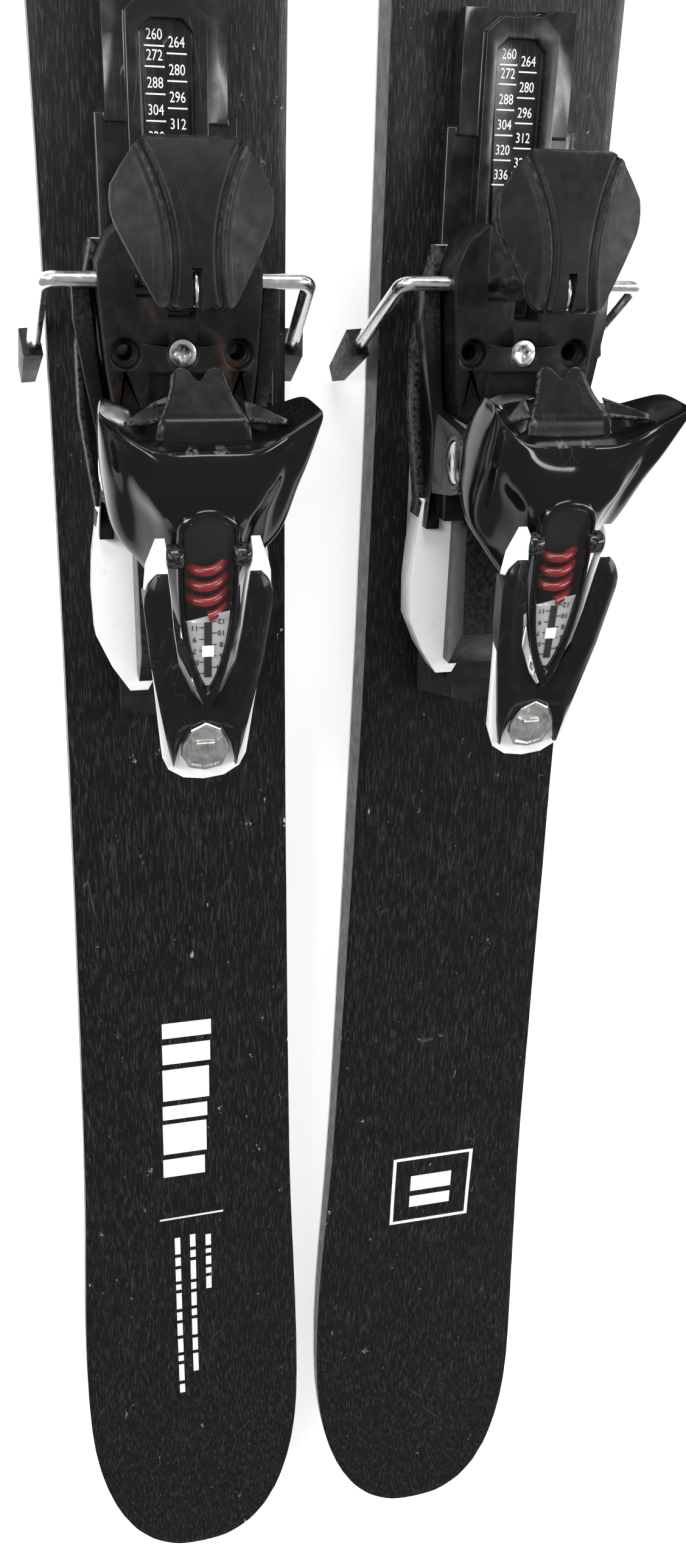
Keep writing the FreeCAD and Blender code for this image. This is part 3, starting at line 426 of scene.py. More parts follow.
def make_black_finishes(look):
    """Moulded black plastics: glossy, matt, dirty and worn."""
    n = Nodes("Gloss_black")
    n.set(Specular_IOR_Level=0.28, Coat_Weight=0.06, Coat_Roughness=0.04)
    marks = scratches(n, 420, 38)
    haze = n.noise(60, 4)
    tone = n.mix(marks, look.gloss_black[:], (0.05, 0.05, 0.052))
    edge = n.times(n.wear(0.53, 0.60), n.ramp(n.noise(700, 4), (0.42, 0.0), (0.6, 1.0)))
    n.done(n.mix(edge, tone, (0.09, 0.088, 0.085)), n.ramp(haze, (0.3, 0.07), (0.75, 0.2)),
           n.bump(n.noise(240, 2), 0.03, 0.0006, n.bump(marks, -0.25, 0.0001)))

    n = Nodes("Track_black")
    n.set(Specular_IOR_Level=0.4)
    marks = scratches(n, 300, 12)
    tone = n.mix(n.ramp(n.noise(90, 5), (0.5, 0.0), (0.8, 1.0)), (0.007, 0.007, 0.008), (0.022, 0.022, 0.023))
    n.done(n.mix(marks, tone, (0.11, 0.11, 0.11)), n.ramp(n.noise(130, 5), (0.3, 0.12), (0.7, 0.32)),
           n.bump(n.noise(1600, 3), 0.06, 0.0002))

    n = Nodes("Matt_black")
    n.set(Specular_IOR_Level=0.16)
    grain = n.noise(3800, 4, 0.6)
    dust = n.ramp(n.noise(120, 6, 0.65), (0.46, 0.0), (0.78, 1.0))
    marks = scratches(n, 260, -28, 0.02)
    tone = n.mix(n.times(dust, 0.45), look.matt_black[:], (0.024, 0.022, 0.02))
    tone = n.mix(n.times(marks, 0.5), tone, (0.09, 0.088, 0.085))
    edge = n.times(n.wear(0.52, 0.58), n.ramp(n.noise(500, 5), (0.45, 0.0), (0.65, 1.0)))
    n.done(n.mix(edge, tone, (0.07, 0.07, 0.07)), n.ramp(n.noise(200, 4), (0.3, 0.34), (0.7, 0.52)),
           n.bump(grain, 0.22, 0.00012, n.bump(n.noise(180, 3), 0.1, 0.0008)))

    n = Nodes("Dirty_black")
    n.set(Specular_IOR_Level=0.16)
    dust = n.ramp(n.noise(150, 8, 0.7), (0.5, 0.0), (0.8, 1.0))
    rust = n.ramp(n.noise(70, 6, 0.6, bend=0.8), (0.56, 0.0), (0.72, 1.0))
    tone = n.mix(n.times(dust, 0.6), (0.005, 0.0048, 0.0046), (0.024, 0.021, 0.018))
    tone = n.mix(n.times(rust, 0.5), tone, (0.05, 0.026, 0.015))
    n.done(tone, n.ramp(n.noise(240, 5), (0.3, 0.34), (0.7, 0.66)),
           n.bump(n.noise(2600, 5), 0.3, 0.00015, n.bump(rust, 0.2, 0.0002)))

    n = Nodes("Lever_black")
    n.set(Specular_IOR_Level=0.2)
    marks = scratches(n, 330, 20, 0.02)
    dust = n.ramp(n.noise(140, 5), (0.5, 0.0), (0.85, 1.0))
    tone = n.mix(n.times(dust, 0.3), (0.006, 0.006, 0.0065), (0.025, 0.025, 0.025))
    edge = n.times(n.wear(0.52, 0.6), n.ramp(n.noise(600, 4), (0.4, 0.0), (0.6, 1.0)))
    n.done(n.mix(edge, n.mix(n.times(marks, 0.5), tone, (0.08, 0.08, 0.08)), (0.08, 0.08, 0.08)),
           n.ramp(n.noise(180, 4), (0.3, 0.17), (0.7, 0.32)),
           n.bump(n.noise(2400, 4), 0.12, 0.00012))


def make_bright_finishes(look):
    """White plastic, plated and stamped steel, the red spring, the label and the clear pane."""
    n = Nodes("White_plastic")
    n.set(Specular_IOR_Level=0.5, Coat_Weight=0.2)
    dirt = n.times(n.ramp(n.noise(90, 7, 0.65), (0.58, 0.0), (0.8, 1.0)), 0.4)
    n.done(n.mix(dirt, look.white[:], (0.42, 0.4, 0.37)), n.ramp(n.noise(120, 3), (0.3, 0.2), (0.7, 0.34)),
           n.bump(n.noise(900, 2), 0.05, 0.0002))

    n = Nodes("Plated_steel")
    n.set(Metallic=1.0)
    spots = n.ramp(n.noise(420, 6, 0.7), (0.62, 0.0), (0.74, 1.0))
    tone = n.mix(n.ramp(n.noise(160, 4), (0.3, 0.0), (0.7, 1.0)), (0.74, 0.73, 0.71), (0.92, 0.92, 0.92))
    n.done(n.mix(n.times(spots, 0.6), tone, (0.22, 0.17, 0.12)),
           n.ramp(n.noise(300, 4), (0.3, 0.12), (0.75, 0.34)),
           n.bump(n.noise(1400, 4), 0.12, 0.00015))

    n = Nodes("Stamped_steel")
    n.set(Metallic=1.0)
    lines = n.noise(1800, 3, stretch=(1, 0.06, 1))
    tone = n.mix(n.ramp(n.noise(200, 6), (0.4, 0.0), (0.7, 1.0)), (0.7, 0.7, 0.69), (0.4, 0.38, 0.36))
    n.done(tone, n.ramp(lines, (0.3, 0.2), (0.7, 0.42)), n.bump(lines, 0.2, 0.0001))

    n = Nodes("Red_steel")
    n.set(Coat_Weight=0.5, Coat_Roughness=0.1, Specular_IOR_Level=0.5)
    n.done(n.mix(n.noise(400, 4), (0.09, 0.002, 0.004), (0.3, 0.007, 0.011)),
           n.ramp(n.noise(500, 3), (0.3, 0.2), (0.7, 0.4)), n.bump(n.noise(1500, 3), 0.1, 0.0001))

    n = Nodes("Silver_label")
    n.set(Metallic=0.25, Specular_IOR_Level=0.5)
    n.done(n.mix(n.noise(260, 3), (0.5, 0.5, 0.51), (0.66, 0.66, 0.66)),
           n.ramp(n.noise(500, 3), (0.3, 0.25), (0.7, 0.4)), n.bump(n.noise(2000, 2), 0.05, 0.0001))

    # Dark print of the label's numbers and ticks; the same dark finish paints the shade inside the pointer's
    # slot.
    n = Nodes("Label_print_and_slot_shade")
    n.done(n.mix(n.noise(900, 3), (0.004, 0.004, 0.005), (0.015, 0.015, 0.017)),
           n.ramp(n.noise(400, 2), (0.3, 0.45), (0.7, 0.6)))

    n = Nodes("Clear_pane")
    n.set(Specular_IOR_Level=0.4, Alpha=0.1)
    n.done(n.mix(n.noise(120, 4), (0.03, 0.03, 0.032), (0.08, 0.08, 0.08)),
           n.ramp(n.noise(90, 4), (0.35, 0.03), (0.8, 0.12)),
           n.bump(scratches(n, 500, 60, 0.01), -0.1, 0.00005))
    n.material.surface_render_method = "BLENDED"

    n = Nodes("White_print")
    gone = n.ramp(n.noise(900, 5, 0.7), (0.7, 0.0), (0.78, 1.0))
    n.done(n.mix(gone, (0.78, 0.78, 0.77), (0.2, 0.2, 0.2)), n.ramp(n.noise(300, 2), (0.3, 0.4), (0.7, 0.55)))


def make_ski_finishes(look):
    """Topsheet with a brushed lengthwise grain, sidewall, steel edge, running base and wood."""
    n = Nodes("Topsheet")
    n.set(Specular_IOR_Level=0.17)
    streaks = n.noise(1500, 5, 0.65, stretch=(1, 0.085, 1))
    broad = n.noise(240, 4, 0.6, stretch=(1, 0.1, 1))
    flecks = n.ramp(streaks, (0.5, 0.0), (0.66, 1.0))
    tone = n.mix(n.times(flecks, 0.8), look.topsheet[:], look.flecks[:])
    tone = n.mix(n.ramp(broad, (0.45, 0.0), (0.75, 0.5)), tone, (0.004, 0.004, 0.005))
    marks = scratches(n, 150, 32, 0.006)
    marks_across = scratches(n, 110, -50, 0.006)
    tone = n.mix(n.times(marks, 0.35), tone, (0.16, 0.16, 0.16))
    tone = n.mix(n.times(marks_across, 0.35), tone, (0.14, 0.14, 0.14))
    rim = n.add("ShaderNodeAttribute", attribute_name="rim").outputs["Fac"]
    chips = n.times(rim, n.ramp(n.noise(150, 7, 0.75, stretch=(1, 0.5, 1)), (0.655, 0.0), (0.675, 1.0)))
    tone = n.mix(chips, tone, (0.72, 0.72, 0.7))
    sheen = n.mix(rim, n.ramp(streaks, (0.35, 0.56), (0.68, 0.3)), (0.2, 0.2, 0.2))
    n.done(tone, sheen, n.bump(streaks, look.grain_depth, 0.00035))

    n = Nodes("Sidewall")
    n.set(Specular_IOR_Level=0.25)
    marks = scratches(n, 200, 0, 0.02)
    n.done(n.mix(n.times(marks, 0.5), (0.005, 0.005, 0.0055), (0.06, 0.06, 0.06)),
           n.ramp(n.noise(180, 4), (0.3, 0.28), (0.7, 0.45)),
           n.bump(n.noise(1200, 3, stretch=(1, 0.1, 1)), 0.1))

    n = Nodes("Edge_steel")
    n.set(Metallic=1.0)
    rust = n.ramp(n.noise(260, 7, 0.7), (0.6, 0.0), (0.72, 1.0))
    n.done(n.mix(n.times(rust, 0.7), (0.56, 0.56, 0.57), (0.24, 0.12, 0.06)),
           n.ramp(n.noise(900, 3, stretch=(1, 0.05, 1)), (0.3, 0.2), (0.7, 0.42)),
           n.bump(n.noise(1500, 3, stretch=(0.1, 1, 1)), 0.15, 0.0001))

    n = Nodes("Running_base")
    lines = n.noise(2600, 3, stretch=(1, 0.01, 1))
    n.done(n.mix(lines, (0.012, 0.012, 0.013), (0.04, 0.04, 0.042)),
           n.ramp(n.noise(60, 4), (0.3, 0.3), (0.7, 0.5)), n.bump(lines, 0.25, 0.0001))

    n = Nodes("Core_wood")
    rings = n.noise(260, 6, 0.6, stretch=(1, 0.04, 1))
    n.done(n.mix(rings, (0.5, 0.33, 0.17), (0.72, 0.54, 0.34)), n.ramp(rings, (0.3, 0.45), (0.7, 0.65)),
           n.bump(rings, 0.2, 0.0003))


# ---- ski ----

def deck_outline(side):
    """Right half of the topsheet's outline from tail to tip, as (across, along, height) in metres."""
    node = frame["nodes"][side + "_ski_topsheet"]
    low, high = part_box(side + "_ski_topsheet")
    middle = (low.x + high.x) / 2
    highest = {}
    sides = {corner for face in node.data.polygons if abs(face.normal.z) < 0.5 for corner in face.vertices}
    for corner in sides:
        spot = node.data.vertices[corner].co
        if spot.x >= middle - 1e-5:
            key = (round(spot.x - middle, 5), round(spot.y, 5))
            highest[key] = max(highest.get(key, -1), spot.z)
    centre = (low.y + high.y) / 2
    spots = [(x, y, z) for (x, y), z in highest.items()]
    tail = sorted((s for s in spots if s[1] < centre), key=lambda s: (s[1], s[0]))
    tip = sorted((s for s in spots if s[1] >= centre), key=lambda s: (s[1], -s[0]))
    line = np.array(tail + tip)
    run = np.concatenate([[0], np.cumsum(np.hypot(*np.diff(line[:, :2], axis=0).T))])
    return middle, line, run


def resampled(line, run, count):
    """The same line at even steps."""
    steps = np.linspace(0, run[-1], count)
    return np.stack([np.interp(steps, run, line[:, k]) for k in range(3)], axis=1)


DECK_BLEND = 0.02
RIM_WIDTH = 5.6


def deck_height(line, y):
    """Height of the deck at a place along the ski, evened out over a short stretch."""
    order = np.argsort(line[:, 1], kind="stable")
    along = line[order, 1]
    level = line[order, 2]
    reach = np.clip(np.minimum(y - along[0], along[-1] - y), 0, DECK_BLEND)
    near = [np.interp(y + share * reach, along, level) for share in np.linspace(-1, 1, 9)]
    return np.mean(near, axis=0)


RIM_PROFILE = ((0.0, -0.92), (0.02, -0.42), (0.4, -0.24), (2.7, -0.04), (3.1, 0.06), (3.7, 0.1))


def build_topsheet(side):
    """Sheet with a shallow bevel along its whole outline."""
    middle, line, run = deck_outline(side)
    outline = resampled(line, run, 420)
    outline[0, 0] = 0
    outline[-1, 0] = 0
    tangent = np.gradient(outline[:, :2], axis=0)
    tangent /= np.linalg.norm(tangent, axis=1)[:, None]
    inward = np.stack([-tangent[:, 1], tangent[:, 0]], axis=1)
    inward[0] = (0, 1)
    inward[-1] = (0, -1)
    rings = []
    for inset, drop in RIM_PROFILE:
        ring = outline[:, :2] + inward * inset * MM
        ring[:, 0] = np.maximum(ring[:, 0], 0)
        height = deck_height(line, ring[:, 1]) + drop * MM
        rings.append(np.column_stack([ring, height]))
    count = len(outline)
    points = []
    faces = []
    for hand in (1, -1):
        base = len(points)
        for ring in rings:
            points += [(middle + hand * x, y, z) for x, y, z in ring]
        for r in range(len(rings) - 1):
            for i in range(count - 1):
                faces.append((base + r * count + i, base + r * count + i + 1,
                              base + (r + 1) * count + i + 1, base + (r + 1) * count + i))
    right = (len(rings) - 1) * count
    left = len(rings) * count + right
    for i in range(count - 1):
        faces.append((right + i, right + i + 1, left + i + 1, left + i))
    mesh = welded(mesh_of(side + "_topsheet", points, faces), 1e-6)
    rim = mesh.attributes.new("rim", "FLOAT", "POINT")
    edge_line = resampled(line, run, 2000)[:, :2]
    for vertex in mesh.vertices:
        spot = np.array((abs(vertex.co.x - middle), vertex.co.y))
        gap = np.sqrt(((edge_line - spot) ** 2).sum(1).min())
        rim.data[vertex.index].value = max(0.0, 1 - gap / (RIM_WIDTH * MM))
    return finish_mesh(side + "_topsheet", mesh, side + "_ski", "Topsheet",
                       (side + "_ski_topsheet",), smooth=25)


PRINT_STEP = 6
PRINT_LIFTS = (0.12, 0.26)


def deck_bars(side, name, bars):
    """Printed bars laid on the deck of one ski, each with four corners in millimetres."""
    middle, line, run = deck_outline(side)
    points = []
    faces = []
    for (ax, ay), (bx, by), (cx, cy), (dx, dy) in bars:
        steps = max(1, int(max(abs(dy - ay), abs(cy - by)) // PRINT_STEP))
        base = len(points)
        for lift in PRINT_LIFTS:
            for t in np.linspace(0, 1, steps + 1):
                for x, y in ((ax + (dx - ax) * t, ay + (dy - ay) * t),
                             (bx + (cx - bx) * t, by + (cy - by) * t)):
                    points.append((middle + x * MM, y * MM, deck_height(line, y * MM) + lift * MM))
        top = base + 2 * (steps + 1)
        for k in range(0, 2 * steps, 2):
            faces.append((top + k, top + k + 1, top + k + 3, top + k + 2))
            faces.append((base + k, base + k + 2, base + k + 3, base + k + 1))
            faces.append((base + k, top + k, top + k + 2, base + k + 2))
            faces.append((base + k + 1, base + k + 3, top + k + 3, top + k + 1))
        faces.append((base, base + 1, top + 1, top))
        faces.append((base + 2 * steps, top + 2 * steps, top + 2 * steps + 1, base + 2 * steps + 1))
    mesh = mesh_of(name, points, faces)
    return finish_mesh(name, mesh, side + "_ski", "White_print", smooth=0)


def block(x0, y0, x1, y1, slant=0.0):
    """Corners of a bar whose left end is moved along by a slant."""
    return ((x0, y0 + slant), (x1, y0), (x1, y1), (x0, y1 + slant))


def tail_print():
    """Plain stripes and rows of dashes on one tail, a framed bar on the other."""
    bars = []
    spot = -488.0
    for length, gap in ((9, 4), (12, 3.5), (20, 3.5), (9, 3), (20, 3.5), (12, 9)):
        slide = -(spot + 488) * 0.03
        bars.append(block(-12.2 - slide * 0.6, spot - length, 12.6 - slide * 1.6, spot))
        spot -= length + gap
    bars.append(block(-16.6, -617.6, 18.0, -616.4, -0.6))
    rows = ((9.6, -632.6, (8, 3, 6, 4, 9)), (1.0, -631.0, (9, 5, 14, 5, 10, 5, 12, 9, 13)),
            (-7.4, -632.0, (12, 6, 9, 4, 12, 6, 9, 10, 4, 12, 6)))
    for across, start, dashes in rows:
        spot = start
        for length in dashes:
            bars.append(block(across - 1.5, spot - length, across + 1.5, spot))
            spot -= length + 2.6
    deck_bars("left", "left_tail_print", bars)
    low, high, left, right, band = -647.5, -598.8, -19.5, 27.2, 1.9
    bars = [block(left, high - band, right, high), block(left, low, right, low + band),
            block(left, low, left + band, high), block(right - band, low, right, high),
            block(-8.5, -636, 15.5, -628), block(-8.5, -624, 15.5, -613)]
    deck_bars("right", "right_tail_print", bars)


# ---- track scale ----

SCALE_NUMBERS = ((260, -4), (264, 4), (272, -4), (280, 4), (288, -4), (296, 4), (304, -4), (312, 4),
                 (320, -4),
                 (328, 4), (336, -4))
SCALE_MIDDLE = 89.7
SCALE_STEP = 0.545
SCALE_FLOOR = 13.1


def build_scale(side):
    """Numbers and ticks of the sole-length scale on the recess floor."""
    matrix = heel_frame(side)
    places = []
    bars = []
    for number, across in SCALE_NUMBERS:
        along = SCALE_MIDDLE - (number - 288) * SCALE_STEP
        places.append(matrix @ Matrix.Translation((across, along, SCALE_FLOOR)))
        bars.append((across - 3.6, along - 3.7, across + 3.6, along - 3.2, SCALE_FLOOR))
    words = [str(number) for number, across in SCALE_NUMBERS]
    digits = numeral_mesh(side + "_scale_numbers", words, places, 5.0, narrow=0.8)
    ticks = bars_mesh(side + "_scale_lines", bars, matrix)
    for mesh in (digits, ticks):
        finish_mesh(mesh.name, mesh, side + "_ski", "White_print", smooth=0)


# ---- side guards ----

GUARD_OUTER = ((38, 30.2), (20, 34.3), (0, 37.3), (-25, 37.3), (-50, 34.3), (-62, 32.8), (-68, 33.4))
GUARD_INNER = ((38, 27.0), (4, 29.6), (-15, 25.4), (-23, 24.4), (-37, 23.0), (-56, 23.4), (-68, 26.0))


def build_guards(side):
    """Black S-shaped strip over each edge of the carriage, with a rolled outer lip."""
    outer = np.array(GUARD_OUTER)[::-1]
    inner = np.array(GUARD_INNER)[::-1]
    along = np.linspace(-68, 38, 54)
    wide = np.interp(along, outer[:, 0], outer[:, 1])
    narrow = smooth_line(inner, 8)
    near = np.interp(along, narrow[:, 0], narrow[:, 1])
    for hand, word in ((1, "outer"), (-1, "inner")):
        rings = []
        for y, a, b in zip(along, near, wide):
            profile = ((a, 20.1), (a, 21.2), (a + 1.2, 21.6), (b - 3.2, 21.9), (b - 1.6, 23.0), (b, 23.0),
                       (b + 0.6, 22.2), (b + 0.7, 12.0), (b + 0.1, 12.0), (b + 0.1, 20.1))
            rings.append([(hand * x, y, z) for x, z in profile])
        mesh = loft(side + "_guard_" + word, rings, heel_frame(side))
        finish_mesh(side + "_guard_" + word, mesh, side + "_carriage", "Lever_black",
                    smooth=50)


# ---- brake pad ----

PAD_STATIONS = ((-11.6, 12.4), (-10.2, 13.8), (-4.0, 17.2), (4.0, 21.4), (10.0, 24.4), (14.0, 26.3),
                (18.0, 27.3),
                (22.0, 27.5), (26.0, 27.0), (31.0, 23.8), (35.5, 20.6), (38.0, 18.7), (40.2, 16.0))
PAD_REAR, PAD_FRONT = -11.6, 40.2


def pad_top(x, y):
    """Height of the pad's top: a raised middle panel between two curved creases, and side facets."""
    crease = 7.0 + 0.0072 * (y - 3) ** 2
    side = max(0.0, abs(x) - crease)
    groove = math.exp(-((abs(x) - crease) / 0.9) ** 2)
    height = 10.6 - 0.30 * side - 1.3 * groove - 0.0045 * (y - 14) ** 2
    return height + 0.9 * math.exp(-((abs(x) - crease - 2.4) / 1.3) ** 2)


def build_pad(side):
    """Octagonal pedal with creased top, thick rounded edges and the crank's slot."""
    stations = np.array(PAD_STATIONS)
    along = np.linspace(PAD_REAR, PAD_FRONT, 64)
    half = np.interp(along, stations[:, 0], stations[:, 1])
    rows = []
    for y, w in zip(along, half):
        spread = np.linspace(0, 1, 56)
        top = [(u * w, y, pad_top(u * w, y)) for u in spread[:-1]]
        edge = pad_top(w, y)
        rim = [(w - 0.35, y, edge - 0.15), (w, y, edge - 1.3), (w - 0.5, y, edge - 4.2), (w - 2.4, y, 3.6)]
        under = [(w * u, y, 3.4) for u in (0.8, 0.6, 0.4, 0.2, 0.0)]
        rows.append(top + rim + under)
    first = [(x * 0.86, y - 1.0, 3.6 + (z - 3.6) * 0.55 + 0.2) for x, y, z in rows[0]]
    last = [(x * 0.93, y + 1.0, 3.6 + (z - 3.6) * 0.55 + 0.2) for x, y, z in rows[-1]]
    rings = []
    for row in [first] + rows + [last]:
        rings.append(row + [(-x, y, z) for x, y, z in reversed(row[1:-1])])
    mesh = loft(side + "_brake_pad_top", rings, pad_frame(side))
    piece = finish_mesh(side + "_brake_pad_top", mesh, side + "_pedal", "Matt_black",
                        smooth=50)
    slot = bars_mesh("slot", [(-1.6, -16, 1.6, 0.5, 6)], pad_frame(side), 14)
    cutter = bpy.data.objects.new("slot_cutter", slot)
    bpy.context.scene.collection.objects.link(cutter)
    cut = piece.modifiers.new("Slot", "BOOLEAN")
    cut.object = cutter
    cut.solver = "EXACT"
    bpy.context.view_layer.update()
    cut_mesh = bpy.data.meshes.new_from_object(piece.evaluated_get(bpy.context.evaluated_depsgraph_get()))
    piece.modifiers.remove(cut)
    piece.data = cut_mesh
    bpy.data.objects.remove(cutter)
    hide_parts(side + "_brake_pad")
    bead = [pad_frame(side) @ Vector((0, y, z)) for y,
            z in ((-0.6, 5.6), (-3, 6.6), (-6.5, 6.9), (-9.6, 5.8), (-10.6, 3.8))]
    tube(side + "_spring_leg", bead, 1.15, side + "_pedal", "Plated_steel")


# ---- heel cup ----

CUP_RINGS = (
    ((0, 29.6, 25.4), (9, 29.8, 25.8), (17, 31.0, 26.6), (24, 35.0, 27.2), (30.4, 41.4, 28.4),
     (36.2, 49.6, 31.0),
     (35.8, 48.4, 27), (34.0, 43.6, 15), (28.4, 35.6, 8), (23.0, 30.0, 3), (16, 28.0, -1), (8, 27.4, -3),
     (0, 27.4, -5)),
    ((0, 28.6, 27.8), (9, 28.8, 28.2), (17, 30.2, 28.8), (24.2, 33.8, 28.8), (30.4, 39.4, 29.6),
     (36.2, 47.0, 32.2),
     (36.6, 45.6, 27), (34.8, 41.4, 13), (28.8, 34, 6), (22.6, 28, 2), (15, 26.6, -2), (8, 26, -5),
     (0, 26, -7)),
    ((0, 24.0, 33.0), (9, 24.2, 33.2), (17, 25.6, 32.4), (23.6, 28.2, 29.6), (29.0, 32.4, 28.6),
     (35.0, 38.4, 31.6),
     (36.6, 37, 25), (35.0, 33, 10), (29, 28, 4), (23, 26, 0), (15, 24, -4), (8, 22, -7), (0, 21, -9)),
    ((0, 15.2, 37.6), (9, 15.2, 37.6), (17, 15.8, 36.8), (22.6, 18.0, 32.2), (27.6, 21.6, 28.4),
     (33.8, 26, 29.8),
     (36.0, 25, 22), (34.4, 23, 6), (28, 21, 1), (22, 18, -3), (15, 15, -6), (8, 13, -8), (0, 13, -9)),
    ((0, 4, 40.2), (8.6, 4, 40), (14.4, 4.6, 37.2), (20.0, 6.2, 31.6), (25.6, 8.6, 27.6), (32.4, 12, 26.8),
     (34.8, 11, 18), (33, 10, 3), (26, 10, -2), (21, 8, -5), (15, 6, -8), (8, 4, -9), (0, 4, -9)),
    ((0, -10, 43), (8.2, -10, 42.6), (12.0, -10, 39.4), (17.0, -9.8, 33.4), (22.6, -9.4, 28.0),
     (29.8, -9, 24.2),
     (31.6, -9, 15), (30, -9, 3), (23, -8, -1), (18, -8, -4), (13, -9, -6), (7, -10, -7), (0, -10, -7)),
    ((0, -24, 46), (7.6, -24, 45.4), (10.6, -24, 42.4), (13.6, -23.6, 36), (17.8, -23, 30), (22.0, -22.4, 24),
     (23.4, -22, 17), (22, -22, 9), (18, -22, 6), (14, -22, 4), (9, -23, 3), (5, -24, 2), (0, -24, 2)),
    ((0, -37, 50), (5.6, -37, 49), (8.4, -37, 46), (9.8, -36, 41), (11.4, -35, 34), (13.4, -34, 28),
     (14.0, -34, 22), (13, -33, 18), (11, -34, 16), (8, -34, 15), (6, -35, 14), (3, -36, 14), (0, -36, 14)),
)


def build_cup(side):
    """Glossy shell with pointed wings, a barrel between them and the concave rim."""
    mesh = folded_loft(side + "_cup_shell", smooth_halves(CUP_RINGS, 6, 5), cup_frame(side))
    return finish_mesh(side + "_cup_shell", mesh, side + "_cup", "Gloss_black",
                       (side + "_heel_cup",), levels=1, smooth=70)


POINTEDNESS = 3.0


def bullet(half, front, rear, steps=9):
    """Closed plan outline, round at the front and pointed at the rear."""
    right = [(0, front)]
    for k in range(1, steps):
        turn = k / (steps - 1) * math.pi / 2
        right.append((half * math.sin(turn), front - half * 0.75 * (1 - math.cos(turn))))
    shoulder = right[-1][1]
    for k in range(1, steps + 5):
        t = math.sin(k / (steps + 4) * math.pi / 2)
        right.append((half * (1 - t ** POINTEDNESS) ** 0.8, shoulder + (rear - shoulder) * t))
    return right + [(-x, y) for x, y in reversed(right[1:-1])]


WINDOW_HEIGHT = 39.4
WINDOW_FRONT = 13
WINDOW_SLOPE = 0.4063


def window_height(y):
    """Height of the window's face in the cup frame."""
    return WINDOW_HEIGHT + (WINDOW_FRONT - y) * WINDOW_SLOPE


def build_window_rim(side):
    """Glossy bullet-shaped rim with the dark well under the pane."""
    loops = []
    for half, front, rear, level in ((10.6, 14.6, -55, -16), (11.4, 15.2, -57, -6), (11.2, 15.0, -58, -1.2),
                                     (10.6, 14.4, -57.4, -0.1), (9.8, 13.6, -54, 0.3),
                                     (9.35, 13.2, -51.6, 0.0),
                                     (9.2, 13.0, -50.8, -0.8), (9.0, 12.8, -50, -10)):
        loops.append([(x, y, window_height(y) + level) for x, y in bullet(half, front, rear)])
    mesh = loft(side + "_window_rim", loops, cup_frame(side))
    return finish_mesh(side + "_window_rim", mesh, side + "_cup", "Gloss_black", levels=1,
                       smooth=60)


def build_window(side):
    """Pane, red coil, silver label with its numbers, and the white pointer."""
    matrix = cup_frame(side)
    loops = []
    for half, front, rear, level in ((9.1, 12.9, -50.3, -1.6), (9.1, 12.9, -50.3, -0.5),
                                     (8.6, 12.4, -49.2, 0.1),
                                     (6.0, 10.5, -42, 0.5), (2.5, 4, -30, 0.65)):
        loops.append([(x, y, window_height(y) + level) for x, y in bullet(half, front, rear)])
    mesh = loft(side + "_window_pane", loops, matrix)
    finish_mesh(side + "_window_pane", mesh, side + "_cup", "Clear_pane",
                (side + "_heel_window",), smooth=60)
    coil = []
    for k in range(0, 3 * 16 + 5):
        turn = k / 16 * 2 * math.pi
        y = -6.5 - k / 16 * 5.4
        coil.append(matrix @ Vector((7.0 * math.cos(turn), y, window_height(y) - 9.8 + 7.0 * math.sin(turn))))
    tube(side + "_spring_coil", coil, 1.9, side + "_cup", "Red_steel", (side + "_heel_spring",))
    label = []
    for y in np.linspace(-23.5, -49.5, 14):
        shoulder = 12.9 - 9.1 * 0.75
        t = (y - shoulder) / (-50.3 - shoulder)
        half = max(0.3, 8.9 * (1 - max(t, 0) ** POINTEDNESS) ** 0.8)
        slope = 2.2 if y > -24 else 0
        label.append([(x * half, y + slope * x, window_height(y) - 2.3) for x in np.linspace(-1, 1, 9)])
    mesh = grid_sheet(side + "_release_label", label, matrix)
    piece = finish_mesh(side + "_release_label", mesh, side + "_cup", "Silver_label",
                        smooth=0)
    thicken(piece, 0.4, -1)
    lean = Matrix.Rotation(-math.atan(WINDOW_SLOPE), 4, "X") @ Matrix.Rotation(math.pi, 4, "Z")
    words = []
    places = []
    bars = []
    for k, number in enumerate(range(3, 13)):
        y = -44.6 + k * 2.15
        level = window_height(y) - 2.0
        across, near, far = (-4.9, -3.2, -1.4) if number % 2 else (4.9, 1.4, 3.2)
        words.append(str(number))
        spot = (across * (0.78 if number < 6 else 1.0), y, level)
        places.append(matrix @ Matrix.Translation(spot) @ lean)
        bars.append((near, y - 0.18, far, y + 0.18, level))
    digits = numeral_mesh(side + "_release_numbers", words, places, 2.9, 0.1)
    ticks = bars_mesh(side + "_release_ticks", bars, matrix)
    # Flat dark bar on the label where the pointer's slot opens: painted shade of the opening, not a cut.
    slot = sloped_bar(side + "_pointer_slot_shade", -1.35, 1.35, -25.5, -46, -1.95, matrix)
    for mesh in (digits, ticks, slot):
        finish_mesh(mesh.name, mesh, side + "_cup", "Label_print_and_slot_shade", smooth=0)
    mesh = sloped_bar(side + "_pointer", -2.2, 2.2, -34, -38, -1.7, matrix)
    finish_mesh(side + "_pointer", mesh, side + "_cup", "White_plastic", smooth=0)


def sloped_bar(name, x0, x1, y0, y1, level, matrix):
    """Thin bar lying on the window's slope."""
    corners = ((x0, y1, window_height(y1) + level), (x1, y1, window_height(y1) + level),
               (x1, y0, window_height(y0) + level), (x0, y0, window_height(y0) + level))
    return bars_mesh(name, [corners], matrix, 0.25)


LEVER_PIN = (-2, 43)
HUB_PROFILE = ((8.6, 2.0), (9.0, 3.9), (9.6, 4.3), (14.0, 4.3), (14.7, 3.9), (15.0, 3.2))


def build_hubs(side):
    """Bosses of the cup round the lever's two stub pins."""
    for hand, word in ((1, "outer"), (-1, "inner")):
        name = side + "_hub_" + word
        mesh = turned(name, hand, 0, LEVER_PIN, HUB_PROFILE, 28, cup_frame(side))
        finish_mesh(name, mesh, side + "_cup", "Gloss_black", smooth=60)


